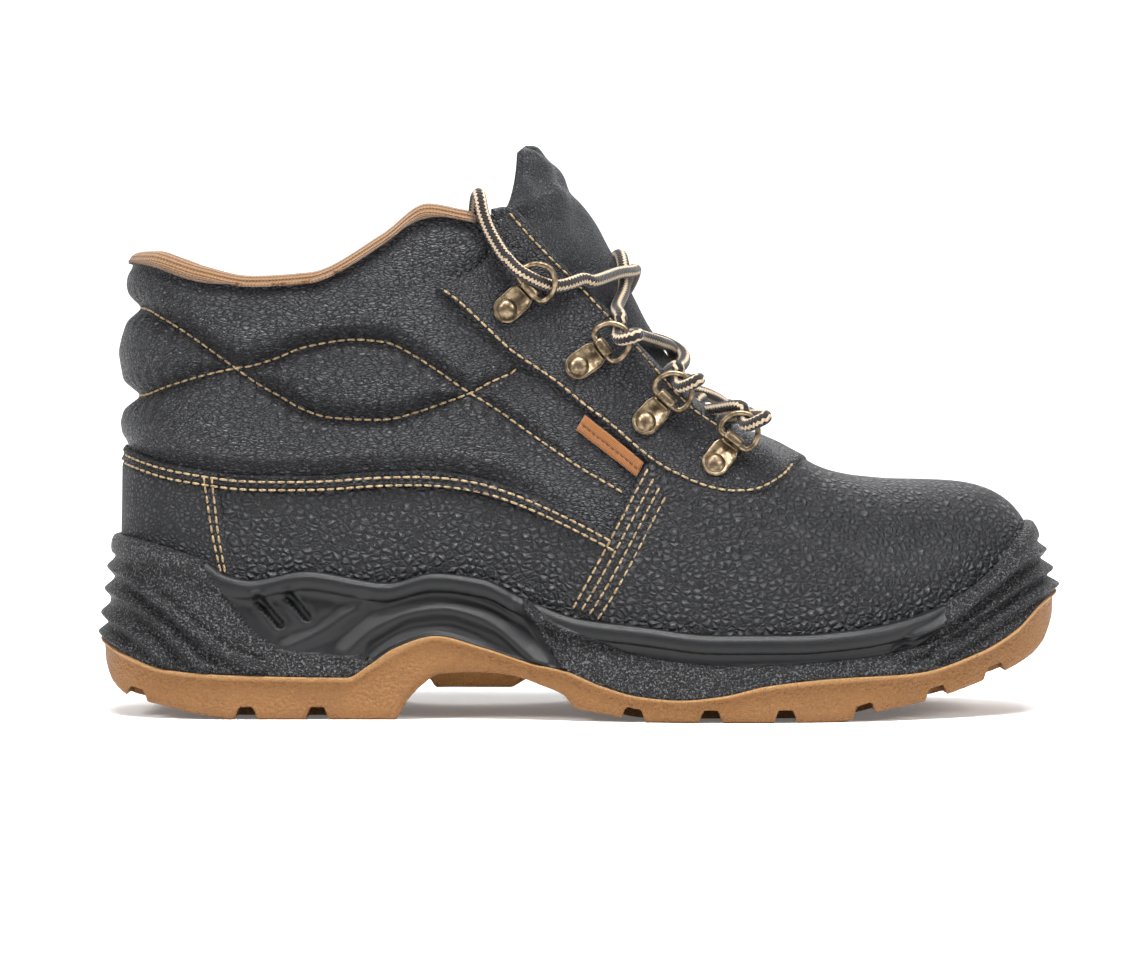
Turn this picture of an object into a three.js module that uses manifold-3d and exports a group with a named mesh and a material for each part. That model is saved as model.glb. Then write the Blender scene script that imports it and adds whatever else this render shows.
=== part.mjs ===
// Safety boot with a padded collar, D-ring lacing and a two-colour moulded sole.
// It is a right boot. The toe points along +X, the outer side faces -Y and +Z is up.
// The origin lies on the floor, under the middle of the sole's length. Millimetres.

import * as THREE from "three";
import { mergeVertices } from "three/addons/utils/BufferGeometryUtils.js";
import Module from "manifold-3d";

const wasm = await Module();
wasm.setup();

// Driving dimensions of the boot.
const length = 305;
const ballWidth = 108;
const heelHeight = 26;
const shaftHeight = 160;
const instepHeight = 87;
const toeHeight = 72.5;
const tongueHeight = 180;

// Walls, clearances and small sizes.
const vampWall = 2.4;
const collarWall = 7;
const foxingWall = 3.6;
const soleLedge = 7;
const insoleThickness = 4;
const insoleClearance = 2.4;
const bondWidth = 4.2;
const midsoleFloor = 6;
const tongueThickness = 4.5;
const tongueThinning = 0.55;
const gap = 0.3;
const lugDepth = 4;
const lugGap = 5.5;
const edgeBevel = 2.4;
const bondStep = 1.5;
const laceDiameter = 4;
const laceLift = 0.6;
const crossLift = 0.4;

// D-ring hardware.
const plateLength = 9;
const plateWidth = 8.5;
const plateSheet = 1;
const plateStandoff = 0.6;
const rivetRadius = 2.8;
const rivetHeight = 1.4;
const wireDiameter = 1.8;
const ringWidth = 12;
const ringReach = 9.5;
const ringTilt = 24;

// Stitched label on the outer side.
const labelLength = 24;
const labelWidth = 5.6;
const labelSheet = 0.7;
const labelStandoff = 0.9;

// Mesh fineness.
const ribCount = 34;
const riseCount = 9;
const soleStations = 26;
const closestStations = 0.006;
const strandSteps = 6;
const endSteps = 16;
const tongueSteps = 14;
const archSteps = 5;

const OUTER = -1;
const INNER = 1;

// Sole seen from above. at is a share of the length from heel to toe; half, the half width,
// and centre, the sideways bend of the middle line, are shares of the ball width.
const planTable = [
  { at: 0.0, half: 0.36, centre: -0.012 },
  { at: 0.15, half: 0.365, centre: -0.012 },
  { at: 0.3, half: 0.352, centre: -0.024 },
  { at: 0.4, half: 0.362, centre: -0.03 },
  { at: 0.52, half: 0.43, centre: -0.024 },
  { at: 0.62, half: 0.486, centre: -0.012 },
  { at: 0.69, half: 0.5, centre: 0.0 },
  { at: 0.78, half: 0.48, centre: 0.018 },
  { at: 0.88, half: 0.43, centre: 0.043 },
  { at: 1.0, half: 0.38, centre: 0.058 },
];
const heelRound = { reach: 0.14, power: 2.3 };
const toeRound = { reach: 0.24, power: 2.25 };
const collarRound = { reach: 0.12, power: 2.2 };

// Sole seen from the side. Heights are shares of the heel height: ground is the lug tips,
// seam the line where the light outsole meets the dark midsole.
const groundTable = [
  { at: 0.0, ground: 0.6 },
  { at: 0.012, ground: 0.37 },
  { at: 0.03, ground: 0.24 },
  { at: 0.066, ground: 0.155 },
  { at: 0.105, ground: 0.06 },
  { at: 0.146, ground: 0.0 },
  { at: 0.3066, ground: 0.0 },
  { at: 0.32, ground: 0.23 },
  { at: 0.335, ground: 0.41 },
  { at: 0.354, ground: 0.55 },
  { at: 0.395, ground: 0.57 },
  { at: 0.426, ground: 0.54 },
  { at: 0.46, ground: 0.415 },
  { at: 0.482, ground: 0.31 },
  { at: 0.494, ground: 0.16 },
  { at: 0.53, ground: 0.08 },
  { at: 0.566, ground: 0.0 },
  { at: 0.765, ground: 0.0 },
  { at: 0.8, ground: 0.1 },
  { at: 0.86, ground: 0.23 },
  { at: 0.92, ground: 0.44 },
  { at: 0.965, ground: 0.65 },
  { at: 0.985, ground: 0.82 },
  { at: 1.0, ground: 1.12 },
];
const seamTable = [
  { at: 0.0, seam: 0.92 },
  { at: 0.03, seam: 0.76 },
  { at: 0.075, seam: 0.59 },
  { at: 0.14, seam: 0.53 },
  { at: 0.262, seam: 0.5 },
  { at: 0.284, seam: 0.645 },
  { at: 0.312, seam: 0.86 },
  { at: 0.352, seam: 1.0 },
  { at: 0.4, seam: 0.865 },
  { at: 0.45, seam: 0.68 },
  { at: 0.485, seam: 0.59 },
  { at: 0.52, seam: 0.425 },
  { at: 0.56, seam: 0.3 },
  { at: 0.6, seam: 0.265 },
  { at: 0.64, seam: 0.31 },
  { at: 0.69, seam: 0.44 },
  { at: 0.76, seam: 0.52 },
  { at: 0.84, seam: 0.56 },
  { at: 0.91, seam: 0.79 },
  { at: 0.95, seam: 1.04 },
  { at: 0.98, seam: 1.35 },
  { at: 1.0, seam: 1.48 },
];
// Inside, where the foot stands, and the top edge of the dark rim around the upper.
const footbedTable = [
  { at: 0.0, bed: 1.0 },
  { at: 0.2, bed: 1.0 },
  { at: 0.35, bed: 1.14 },
  { at: 0.5, bed: 0.92 },
  { at: 0.62, bed: 0.68 },
  { at: 0.75, bed: 0.68 },
  { at: 0.9, bed: 0.93 },
  { at: 1.0, bed: 1.3 },
];
const rimTable = [
  { at: 0.0, rim: 2.15 },
  { at: 0.03, rim: 2.1 },
  { at: 0.07, rim: 1.98 },
  { at: 0.105, rim: 1.85 },
  { at: 0.13, rim: 1.68 },
  { at: 0.155, rim: 1.63 },
  { at: 0.215, rim: 1.74 },
  { at: 0.3, rim: 1.6 },
  { at: 0.35, rim: 1.72 },
  { at: 0.4, rim: 1.65 },
  { at: 0.44, rim: 1.43 },
  { at: 0.5, rim: 1.18 },
  { at: 0.56, rim: 1.1 },
  { at: 0.64, rim: 1.0 },
  { at: 0.72, rim: 1.0 },
  { at: 0.79, rim: 1.06 },
  { at: 0.85, rim: 1.2 },
  { at: 0.9, rim: 1.42 },
  { at: 0.94, rim: 1.72 },
  { at: 0.97, rim: 2.02 },
  { at: 1.0, rim: 2.3 },
];

// Ribs of the upper, from the back seam to the toe. Each starts at foot, a share along the
// sole's outline, and ends on the top line: along is a share of the length, rise a share of
// the named height, spread a share of the ball width. arch is how far the rib bends over
// (0 straight, 1 round), power how square that bend is and swell its fullness low down.
const heights = { shaft: shaftHeight, instep: instepHeight, toe: toeHeight };
const ribTable = [
  { foot: 0.0, along: 0.0325, of: "shaft", rise: 0.914, spread: 0.325, arch: 0, power: 2, swell: 0.0 },
  { foot: 0.03, along: 0.06, of: "shaft", rise: 0.912, spread: 0.33, arch: 0, power: 2, swell: 0.005 },
  { foot: 0.075, along: 0.113, of: "shaft", rise: 0.88, spread: 0.335, arch: 0, power: 2, swell: 0.012 },
  { foot: 0.14, along: 0.166, of: "shaft", rise: 0.86, spread: 0.34, arch: 0, power: 2, swell: 0.02 },
  { foot: 0.21, along: 0.225, of: "shaft", rise: 0.867, spread: 0.35, arch: 0, power: 2, swell: 0.028 },
  { foot: 0.29, along: 0.297, of: "shaft", rise: 0.94, spread: 0.35, arch: 0.05, power: 2, swell: 0.036 },
  { foot: 0.35, along: 0.344, of: "shaft", rise: 1.0, spread: 0.345, arch: 0.12, power: 2, swell: 0.04 },
  { foot: 0.41, along: 0.39, of: "shaft", rise: 0.985, spread: 0.325, arch: 0.22, power: 2, swell: 0.036 },
  { foot: 0.46, along: 0.425, of: "shaft", rise: 0.995, spread: 0.29, arch: 0.36, power: 2, swell: 0.03 },
  { foot: 0.51, along: 0.468, of: "shaft", rise: 0.905, spread: 0.265, arch: 0.5, power: 2.05, swell: 0.024 },
  { foot: 0.57, along: 0.5144, of: "shaft", rise: 0.811, spread: 0.235, arch: 0.65, power: 2.1, swell: 0.018 },
  { foot: 0.63, along: 0.5715, of: "shaft", rise: 0.689, spread: 0.2, arch: 0.8, power: 2.15, swell: 0.014 },
  { foot: 0.69, along: 0.621, of: "instep", rise: 1.105, spread: 0.158, arch: 0.92, power: 2.2, swell: 0.012 },
  { foot: 0.735, along: 0.657, of: "instep", rise: 1.022, spread: 0.1, arch: 1, power: 2.25, swell: 0.01 },
  { foot: 0.77, along: 0.678, of: "instep", rise: 0.993, spread: 0.0, arch: 1, power: 2.3, swell: 0.01 },
  { foot: 0.83, along: 0.716, of: "toe", rise: 1.085, spread: 0.0, arch: 1, power: 2.45, swell: 0.01 },
  { foot: 0.89, along: 0.762, of: "toe", rise: 1.022, spread: 0.0, arch: 1, power: 2.65, swell: 0.008 },
  { foot: 0.95, along: 0.808, of: "toe", rise: 1.002, spread: 0.0, arch: 1, power: 2.9, swell: 0.006 },
  { foot: 1.0, along: 0.85, of: "toe", rise: 1.0, spread: 0.0, arch: 1, power: 3.1, swell: 0.0 },
];
const throatRib = 14;

// Tongue, from its root under the vamp to its tip. along is a share of the length, rise of the
// tongue's height, half and drop of the ball width; thick is a share of its thickness.
const tongueTable = [
  { along: 0.725, rise: 0.399, half: 0.198, drop: 0.067, thick: 0.5 },
  { along: 0.68, rise: 0.449, half: 0.2, drop: 0.106, thick: 0.7 },
  { along: 0.636, rise: 0.534, half: 0.226, drop: 0.17, thick: 0.9 },
  { along: 0.594, rise: 0.622, half: 0.243, drop: 0.214, thick: 1 },
  { along: 0.563, rise: 0.71, half: 0.25, drop: 0.258, thick: 1 },
  { along: 0.53, rise: 0.816, half: 0.259, drop: 0.288, thick: 1 },
  { along: 0.501, rise: 0.9, half: 0.258, drop: 0.288, thick: 1 },
  { along: 0.48, rise: 0.957, half: 0.25, drop: 0.26, thick: 0.9 },
  { along: 0.456, rise: 0.994, half: 0.22, drop: 0.205, thick: 0.7 },
];

// Middles of the lug notches, as shares of the length, and of the bars between them.
const notches = [0.045, 0.159, 0.2315, 0.553, 0.6305, 0.706, 0.786, 0.862, 0.925];
const grooves = [0.195, 0.268, 0.592, 0.668, 0.746, 0.824];
const notchReach = 0.17;
const grooveHalf = 0.2;

// Rivets and folded ends of the four plates, seen from the side, from the top one down.
// Both are shares: along of the length and rise of the shaft height.
const plateTable = [
  { along: 0.4236, rise: 0.795, foldAlong: 0.445, foldRise: 0.8325 },
  { along: 0.497, rise: 0.684, foldAlong: 0.5193, foldRise: 0.714 },
  { along: 0.5646, rise: 0.575, foldAlong: 0.582, foldRise: 0.609 },
  { along: 0.6344, rise: 0.493, foldAlong: 0.65, foldRise: 0.5285 },
];

// Free end of the lace, from the top ring over the collar and down inside, as chosen points.
const laceEndPoints = [
  [-22.6, -40.5, 142.6],
  [-24.2, -40.5, 144.6],
  [-26.0, -40.3, 147.4],
  [-28.4, -40.1, 151.8],
  [-30.3, -39.9, 156.8],
  [-31.2, -38.9, 161.2],
  [-31.8, -35.9, 163.0],
  [-32.6, -32.5, 161.6],
  [-33.2, -29.9, 156.8],
  [-33.8, -28.9, 151.4],
  [-34.4, -28.5, 146.4],
];

// Interpolation between the rows of a table, without overshoot.
function curve(rows, column, key = "at") {
  const xs = rows.map((row, index) => (key === "index" ? index : row[key]));
  const ys = rows.map((row) => (typeof column === "function" ? column(row) : row[column]));
  const steps = xs.slice(1).map((x, i) => x - xs[i]);
  const secants = steps.map((step, i) => (ys[i + 1] - ys[i]) / step);
  const slopes = ys.map((_, i) => {
    if (i === 0) return secants[0];
    if (i === ys.length - 1) return secants[i - 1];
    const before = secants[i - 1];
    const after = secants[i];
    return before * after <= 0 ? 0 : (2 * before * after) / (before + after);
  });
  return (x) => {
    let i = 0;
    while (i < steps.length - 1 && x > xs[i + 1]) i += 1;
    const q = Math.min(1, Math.max(0, (x - xs[i]) / steps[i]));
    const rest = 1 - q;
    const ends = ys[i] * (1 + 2 * q) * rest ** 2 + ys[i + 1] * (3 - 2 * q) * q ** 2;
    return ends + (slopes[i] * q * rest ** 2 - slopes[i + 1] * rest * q ** 2) * steps[i];
  };
}

const halfAt = curve(planTable, "half");
const centreAt = curve(planTable, "centre");
const groundAt = curve(groundTable, "ground");
const seamAt = curve(seamTable, "seam");
const bedAt = curve(footbedTable, "bed");
const rimAt = curve(rimTable, "rim");
const ribColumn = (column) => curve(ribTable, column, "index");
const rib = {
  foot: ribColumn("foot"),
  along: ribColumn("along"),
  top: ribColumn((row) => row.rise * heights[row.of]),
  spread: ribColumn("spread"),
  arch: ribColumn("arch"),
  power: ribColumn("power"),
  swell: ribColumn("swell"),
};

const mix = (a, b, share) => a + (b - a) * share;
const smooth = (low, high, value) => {
  const q = Math.min(1, Math.max(0, (value - low) / (high - low)));
  return q * q * (3 - 2 * q);
};
const lengthwise = (share) => (share - 0.5) * length;

// How much of its width an outline has at a distance from its round end.
function rounded({ reach, power }, distance) {
  const q = Math.min(1, Math.max(0, 1 - distance / reach));
  return (1 - q ** power) ** (1 / power);
}

// The sole's outline from above at a share of the length, drawn in by inset.
const endRound = (share) => rounded(heelRound, share) * rounded(toeRound, 1 - share);

function outline(share, side, inset, height) {
  const x = (share - 0.5) * (length - 2 * inset);
  const half = (halfAt(share) * ballWidth - inset) * endRound(share);
  return new THREE.Vector3(x, centreAt(share) * ballWidth + side * half, height);
}

// A point of the upper's outer face: a rib's number, a share up the rib and a side.
function upperPoint(number, rise, side) {
  const foot = rib.foot(number);
  const along = rib.along(number);
  const power = 2 / rib.power(number);
  const angle = (rise * Math.PI) / 2;
  const up = mix(rise, Math.sin(angle) ** power, rib.arch(number));
  const over = mix(rise, 1 - Math.max(0, Math.cos(angle)) ** power, rib.arch(number));
  const swell = rib.swell(number) * ballWidth * 6.75 * up * (1 - up) ** 2;
  const base = outline(foot, side, soleLedge - swell, bedAt(foot) * heelHeight + gap);
  const topCentre = centreAt(along) * ballWidth;
  const opening = rounded(collarRound, along - ribTable[0].along) * rib.spread(number);
  const spread = number >= throatRib ? 0 : opening * ballWidth;
  return new THREE.Vector3(
    mix(base.x, lengthwise(along), over),
    mix(base.y, topCentre + side * spread, over),
    mix(base.z, rib.top(number), up),
  );
}

// The padded ankle is thicker than the vamp, the quarters and the eyelet stay. The padding
// fades out forwards between two ribs and downwards between two shares of a rib.
const padding = { lastFull: 6, end: 7.6, low: 0.3, full: 0.6 };

function wallAt(number, rise) {
  const { lastFull, end, low, full } = padding;
  const padded = (1 - smooth(lastFull, end, number)) * smooth(low, full, rise);
  return mix(vampWall, collarWall, padded);
}

function upperNormal(number, rise, side) {
  const step = 0.01;
  const low = Math.max(0, rise - step);
  const ahead = upperPoint(number + step, rise, side).sub(upperPoint(number - step, rise, side));
  const above = upperPoint(number, rise + step, side).sub(upperPoint(number, low, side));
  return ahead.cross(above).multiplyScalar(-side).normalize();
}

// The value between two limits at which a rising function reaches a target.
function solve(rising, target, low, high) {
  if (rising(low) >= target) return low;
  if (rising(high) <= target) return high;
  let [below, above] = [low, high];
  for (let i = 0; i < 40; i += 1) {
    const middle = (below + above) / 2;
    if (rising(middle) < target) below = middle;
    else above = middle;
  }
  return (below + above) / 2;
}

// The share up a rib at which the upper's outer face reaches a height, and the rib that
// starts at a share of the sole's length.
const riseAtHeight = (number, height) => solve((rise) => upperPoint(number, rise, OUTER).z, height, 0, 1);
const ribWithFoot = (share) => solve(rib.foot, share, 0, ribTable.length - 1);

// The rib and the share up it that a place seen from the side lies on.
function findOnUpper(x, z, side) {
  let best = { number: 0, rise: 0, distance: Infinity };
  const search = (centre, reach, count) => {
    for (let i = -count; i <= count; i += 1) {
      for (let j = -count; j <= count; j += 1) {
        const last = ribTable.length - 1;
        const number = Math.min(last, Math.max(0, centre.number + (reach * last * i) / count));
        const rise = Math.min(1, Math.max(0, centre.rise + (reach * j) / count));
        const point = upperPoint(number, rise, side);
        const distance = Math.hypot(point.x - x, point.z - z);
        if (distance < best.distance) best = { number, rise, distance };
      }
    }
  };
  search({ number: (ribTable.length - 1) / 2, rise: 0.5 }, 0.5, 24);
  for (let reach = 0.04; reach > 1e-5; reach *= 0.4) search({ ...best }, reach, 3);
  return best;
}

// Meshes and solids.
function geometryFrom(points, triangles, extra) {
  const flat = points.flatMap((point) => [point.x, point.y, point.z]);
  const geometry = new THREE.BufferGeometry();
  geometry.setAttribute("position", new THREE.Float32BufferAttribute(flat, 3));
  if (extra) geometry.setAttribute("wall", new THREE.Float32BufferAttribute(extra, 1));
  geometry.setIndex(triangles.flat());
  return welded(geometry);
}

function welded(geometry) {
  const merged = mergeVertices(geometry, 1e-3);
  const kept = [];
  const index = merged.index.array;
  for (let i = 0; i < index.length; i += 3) {
    const [a, b, c] = [index[i], index[i + 1], index[i + 2]];
    if (a !== b && b !== c && c !== a) kept.push(a, b, c);
  }
  merged.setIndex(kept);
  return merged;
}

function bare(geometry) {
  geometry.deleteAttribute("normal");
  geometry.deleteAttribute("uv");
  return welded(geometry);
}

function quadsOf(rows, columns, flip) {
  const triangles = [];
  for (let i = 0; i < rows - 1; i += 1) {
    for (let j = 0; j < columns - 1; j += 1) {
      const a = i * columns + j;
      const b = a + columns;
      const faces = [[a, b, b + 1], [a, b + 1, a + 1]];
      triangles.push(...faces.map((face) => (flip ? [...face].reverse() : face)));
    }
  }
  return triangles;
}

// Rings of points joined in order, the first and last lying flat on the middle line.
function ringLoft(rings) {
  const closed = rings.map((ring) => [...ring, ring[0]]);
  return geometryFrom(closed.flat(), quadsOf(closed.length, closed[0].length, false));
}

// A wall behind an open surface, as deep at each point as its wall value says.
function thickened(surface) {
  surface.computeVertexNormals();
  const { position, normal, wall } = surface.attributes;
  const outer = [];
  const inner = [];
  for (let i = 0; i < position.count; i += 1) {
    const point = new THREE.Vector3().fromBufferAttribute(position, i);
    const inward = new THREE.Vector3().fromBufferAttribute(normal, i);
    outer.push(point);
    inner.push(point.clone().addScaledVector(inward, -wall.getX(i)));
  }
  const count = outer.length;
  const triangles = [];
  const edges = new Set();
  const index = surface.index.array;
  for (let i = 0; i < index.length; i += 3) {
    const [a, b, c] = [index[i], index[i + 1], index[i + 2]];
    triangles.push([a, b, c], [c + count, b + count, a + count]);
    [[a, b], [b, c], [c, a]].forEach(([from, to]) => edges.add(`${from} ${to}`));
  }
  edges.forEach((edge) => {
    const [from, to] = edge.split(" ").map(Number);
    if (edges.has(`${to} ${from}`)) return;
    triangles.push([to, from, from + count], [to, from + count, to + count]);
  });
  return geometryFrom([...outer, ...inner], triangles);
}

function signedVolume(geometry) {
  const { position } = geometry.attributes;
  const index = geometry.index.array;
  const corner = (i) => new THREE.Vector3().fromBufferAttribute(position, index[i]);
  let total = 0;
  for (let i = 0; i < index.length; i += 3) {
    total += corner(i).dot(corner(i + 1).cross(corner(i + 2))) / 6;
  }
  return total;
}

function outward(geometry) {
  if (signedVolume(geometry) > 0) return geometry;
  const index = [...geometry.index.array];
  for (let i = 0; i < index.length; i += 3) [index[i], index[i + 1]] = [index[i + 1], index[i]];
  geometry.setIndex(index);
  return geometry;
}

function solidFrom(geometry) {
  const closed = outward(geometry);
  const vertProperties = new Float32Array(closed.attributes.position.array);
  const triVerts = new Uint32Array(closed.index.array);
  return new wasm.Manifold(new wasm.Mesh({ numProp: 3, vertProperties, triVerts }));
}

function geometryOf(solid) {
  const mesh = solid.getMesh();
  const geometry = new THREE.BufferGeometry();
  geometry.setAttribute("position", new THREE.BufferAttribute(mesh.vertProperties, 3));
  geometry.setIndex([...mesh.triVerts]);
  return geometry;
}

// Shares of the length for a loft: close together at both ends, and at a table's rows.
function stations(count, tables) {
  const even = Array.from({ length: count + 1 }, (_, i) => 0.5 - 0.5 * Math.cos((Math.PI * i) / count));
  const named = tables.flatMap((rows) => rows.map((row) => row.at));
  const sorted = [...even, ...named].sort((a, b) => a - b);
  return sorted.filter((share, i) => i === 0 || share === 1 || share - sorted[i - 1] > closestStations);
}

// Inside its bonded edge the outsole stays under the foot bed, also where the toe turns up.
const coreAt = (share) => Math.min(seamAt(share) * heelHeight, bedAt(share) * heelHeight - midsoleFloor);

// Outsole: a tread with bevelled edges under the seam, an arch, and notches between lugs.
const soleShares = stations(soleStations, [groundTable, seamTable]);

function outsoleBody() {
  const rings = soleShares.map((share) => {
    const ground = groundAt(share) * heelHeight;
    const seam = seamAt(share) * heelHeight;
    const bevelTop = Math.min(ground + 0.3 * (seam - ground), ground + edgeBevel);
    const half = (side) => [
      outline(share, side, bondWidth + bondStep, coreAt(share)),
      outline(share, side, bondWidth, seam),
      outline(share, side, 0, seam),
      outline(share, side, 0.3 * edgeBevel, bevelTop),
      outline(share, side, edgeBevel, ground),
    ];
    return [...half(OUTER), ...half(INNER).reverse()];
  });
  return solidFrom(ringLoft(rings));
}

// A bar across the sole with sloping sides, from one sideways place to another. Its section
// is widest below the ground line, and its widths are shares of the lug gap.
const barSection = { below: 6, lowHalf: 0.72, topHalf: 0.38 };

function crossBar(share, fromY, toY, depth) {
  const x = lengthwise(share);
  const ground = groundAt(share) * heelHeight;
  const section = new THREE.Shape([
    new THREE.Vector2(x - barSection.lowHalf * lugGap, ground - barSection.below),
    new THREE.Vector2(x + barSection.lowHalf * lugGap, ground - barSection.below),
    new THREE.Vector2(x + barSection.topHalf * lugGap, ground + depth),
    new THREE.Vector2(x - barSection.topHalf * lugGap, ground + depth),
  ]);
  const bar = new THREE.ExtrudeGeometry(section, { depth: toY - fromY, bevelEnabled: false, steps: 1 });
  bar.rotateX(Math.PI / 2);
  bar.translate(0, toY, 0);
  return solidFrom(bare(bar));
}

// Pad in the middle of the waist: places are shares of the length, heights of the heel height.
const waistProfile = [
  { at: 0.335, height: 0.62 },
  { at: 0.35, height: 0.34 },
  { at: 0.43, height: 0.34 },
  { at: 0.47, height: 0.62 },
];
const waistPadWidth = 0.36;

function waistPad() {
  const corner = ({ at, height }) => new THREE.Vector2(lengthwise(at), height * heelHeight);
  const section = new THREE.Shape(waistProfile.map(corner));
  const width = waistPadWidth * ballWidth;
  const pad = new THREE.ExtrudeGeometry(section, { depth: width, bevelEnabled: false, steps: 1 });
  pad.rotateX(Math.PI / 2);
  pad.translate(0, width / 2 + centreAt(0.39) * ballWidth, 0);
  return solidFrom(bare(pad));
}

function outsole() {
  let solid = outsoleBody().add(waistPad());
  const outside = 0.7 * ballWidth;
  notches.forEach((share) => {
    const [near, far] = [outline(share, OUTER, 0, 0).y, outline(share, INNER, 0, 0).y];
    const reach = Math.min(notchReach * ballWidth, 0.4 * (far - near));
    const depth = Math.min(lugDepth, 0.55 * (seamAt(share) - groundAt(share)) * heelHeight);
    solid = solid.subtract(crossBar(share, -outside, near + reach, depth));
    solid = solid.subtract(crossBar(share, far - reach, outside, depth));
  });
  grooves.forEach((share) => {
    const centre = centreAt(share) * ballWidth;
    const half = grooveHalf * ballWidth;
    const depth = Math.min(0.6 * lugDepth, 0.4 * (seamAt(share) - groundAt(share)) * heelHeight);
    solid = solid.subtract(crossBar(share, centre - half, centre + half, depth));
  });
  return geometryOf(solid);
}

// Midsole: a cup whose wall follows the upper's outer face up to the rim.
function midsole() {
  const rings = soleShares.map((share) => {
    const number = ribWithFoot(share);
    const seam = seamAt(share) * heelHeight + gap;
    const rim = rimAt(share) * heelHeight;
    const rise = riseAtHeight(number, rim);
    const half = (side) => {
      const face = upperPoint(number, rise, side);
      const rimOut = outline(share, side, soleLedge - foxingWall, rim);
      const lean = face.clone().sub(upperPoint(number, 0, side));
      rimOut.x += lean.x;
      rimOut.y += lean.y;
      const rimIn = outline(share, side, soleLedge - gap, rim + 0.1);
      rimIn.x += lean.x;
      rimIn.y += lean.y;
      const low = outline(share, side, 0, seam);
      const waist = outline(share, side, 0.35 * soleLedge, mix(seam, rim, 0.5));
      waist.x += 0.35 * lean.x;
      waist.y += 0.35 * lean.y;
      const base = outline(share, side, soleLedge - gap, bedAt(share) * heelHeight);
      const middles = [0.8, 0.45].map((q) => {
        const on = upperPoint(number, riseAtHeight(number, mix(base.z, rim, q)), side);
        const shift = on.clone().sub(upperPoint(number, 0, side));
        const point = outline(share, side, soleLedge - 2 * gap, on.z);
        point.x += shift.x;
        point.y += shift.y;
        return point;
      });
      const bond = outline(share, side, bondWidth + gap, seam);
      const core = outline(share, side, bondWidth + bondStep + gap, coreAt(share) + gap);
      return [core, bond, low, waist, rimOut, rimIn, ...middles, base];
    };
    return [...half(OUTER), ...half(INNER).reverse()];
  });
  return ringLoft(rings);
}

// Upper: one wall around the foot, open at the collar, at the throat and underneath.
function upperSurface() {
  const lastRib = ribTable.length - 1;
  const points = [];
  const walls = [];
  const triangles = [];
  const numbers = Array.from({ length: ribCount + 1 }, (_, i) => (lastRib * i) / ribCount);
  const withThroat = [...new Set([...numbers, throatRib])].sort((a, b) => a - b);
  [OUTER, INNER].forEach((side) => {
    const start = points.length;
    withThroat.forEach((number) => {
      for (let j = 0; j <= riseCount; j += 1) {
        points.push(upperPoint(number, j / riseCount, side));
        walls.push(wallAt(number, j / riseCount));
      }
    });
    const quads = quadsOf(withThroat.length, riseCount + 1, side === INNER);
    triangles.push(...quads.map((face) => face.map((corner) => corner + start)));
  });
  return geometryFrom(points, triangles, walls);
}

// Insole: a sheet on the foot bed, clear of the wall around it.
function insole() {
  const rings = soleShares.map((share) => {
    const bed = bedAt(share) * heelHeight + 2 * gap;
    const inset = soleLedge + vampWall + insoleClearance;
    return [
      outline(share, OUTER, inset, bed),
      outline(share, OUTER, inset, bed + insoleThickness),
      outline(share, INNER, inset, bed + insoleThickness),
      outline(share, INNER, inset, bed),
    ];
  });
  return ringLoft(rings);
}

// Tongue: an arched pad under the throat, rising past the collar.
const tongueLine = {
  x: curve(tongueTable, (row) => lengthwise(row.along), "index"),
  z: curve(tongueTable, (row) => row.rise * tongueHeight, "index"),
  half: curve(tongueTable, (row) => row.half * ballWidth, "index"),
  drop: curve(tongueTable, (row) => row.drop * ballWidth, "index"),
  thick: curve(tongueTable, (row) => row.thick * tongueThickness, "index"),
};

function tongueFrame(number) {
  const step = 0.05;
  const direction = new THREE.Vector3(
    tongueLine.x(number + step) - tongueLine.x(number - step),
    0,
    tongueLine.z(number + step) - tongueLine.z(number - step),
  ).normalize();
  const crown = new THREE.Vector3(
    tongueLine.x(number),
    centreAt(tongueLine.x(number) / length + 0.5) * ballWidth,
    tongueLine.z(number),
  );
  return { crown, direction, front: new THREE.Vector3(direction.z, 0, -direction.x) };
}

function tonguePoint(number, across) {
  const { crown, front } = tongueFrame(number);
  const point = crown.clone().addScaledVector(front, -tongueLine.drop(number) * across ** 2);
  point.y += across * tongueLine.half(number);
  return point;
}

function tongueSurface() {
  const last = tongueTable.length - 1;
  const points = [];
  const walls = [];
  for (let i = 0; i <= tongueSteps; i += 1) {
    const number = (last * i) / tongueSteps;
    for (let j = -archSteps; j <= archSteps; j += 1) {
      const across = j / archSteps;
      points.push(tonguePoint(number, across));
      walls.push(tongueLine.thick(number) * (1 - tongueThinning * across ** 2));
    }
  }
  return geometryFrom(points, quadsOf(tongueSteps + 1, 2 * archSteps + 1, true), walls);
}

// A frame on the upper's face: towards the second place, across, and out of the leather.
function frameOnUpper(fromX, fromZ, toX, toZ, side) {
  const start = findOnUpper(fromX, fromZ, side);
  const end = findOnUpper(toX, toZ, side);
  const origin = upperPoint(start.number, start.rise, side);
  const out = upperNormal(start.number, start.rise, side);
  const ahead = upperPoint(end.number, end.rise, side).sub(origin);
  ahead.addScaledVector(out, -ahead.dot(out)).normalize();
  const across = out.clone().cross(ahead);
  return new THREE.Matrix4().makeBasis(ahead, across, out).setPosition(origin);
}

// Plate with a round end under a domed rivet, folded into a loop for the ring's straight side.
const foldInside = wireDiameter / 2 + 1.4 * gap;
const foldOutside = foldInside + 0.8;
const foldLift = foldOutside + 0.1;
const foldWidth = 0.66 * plateWidth;

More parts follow.
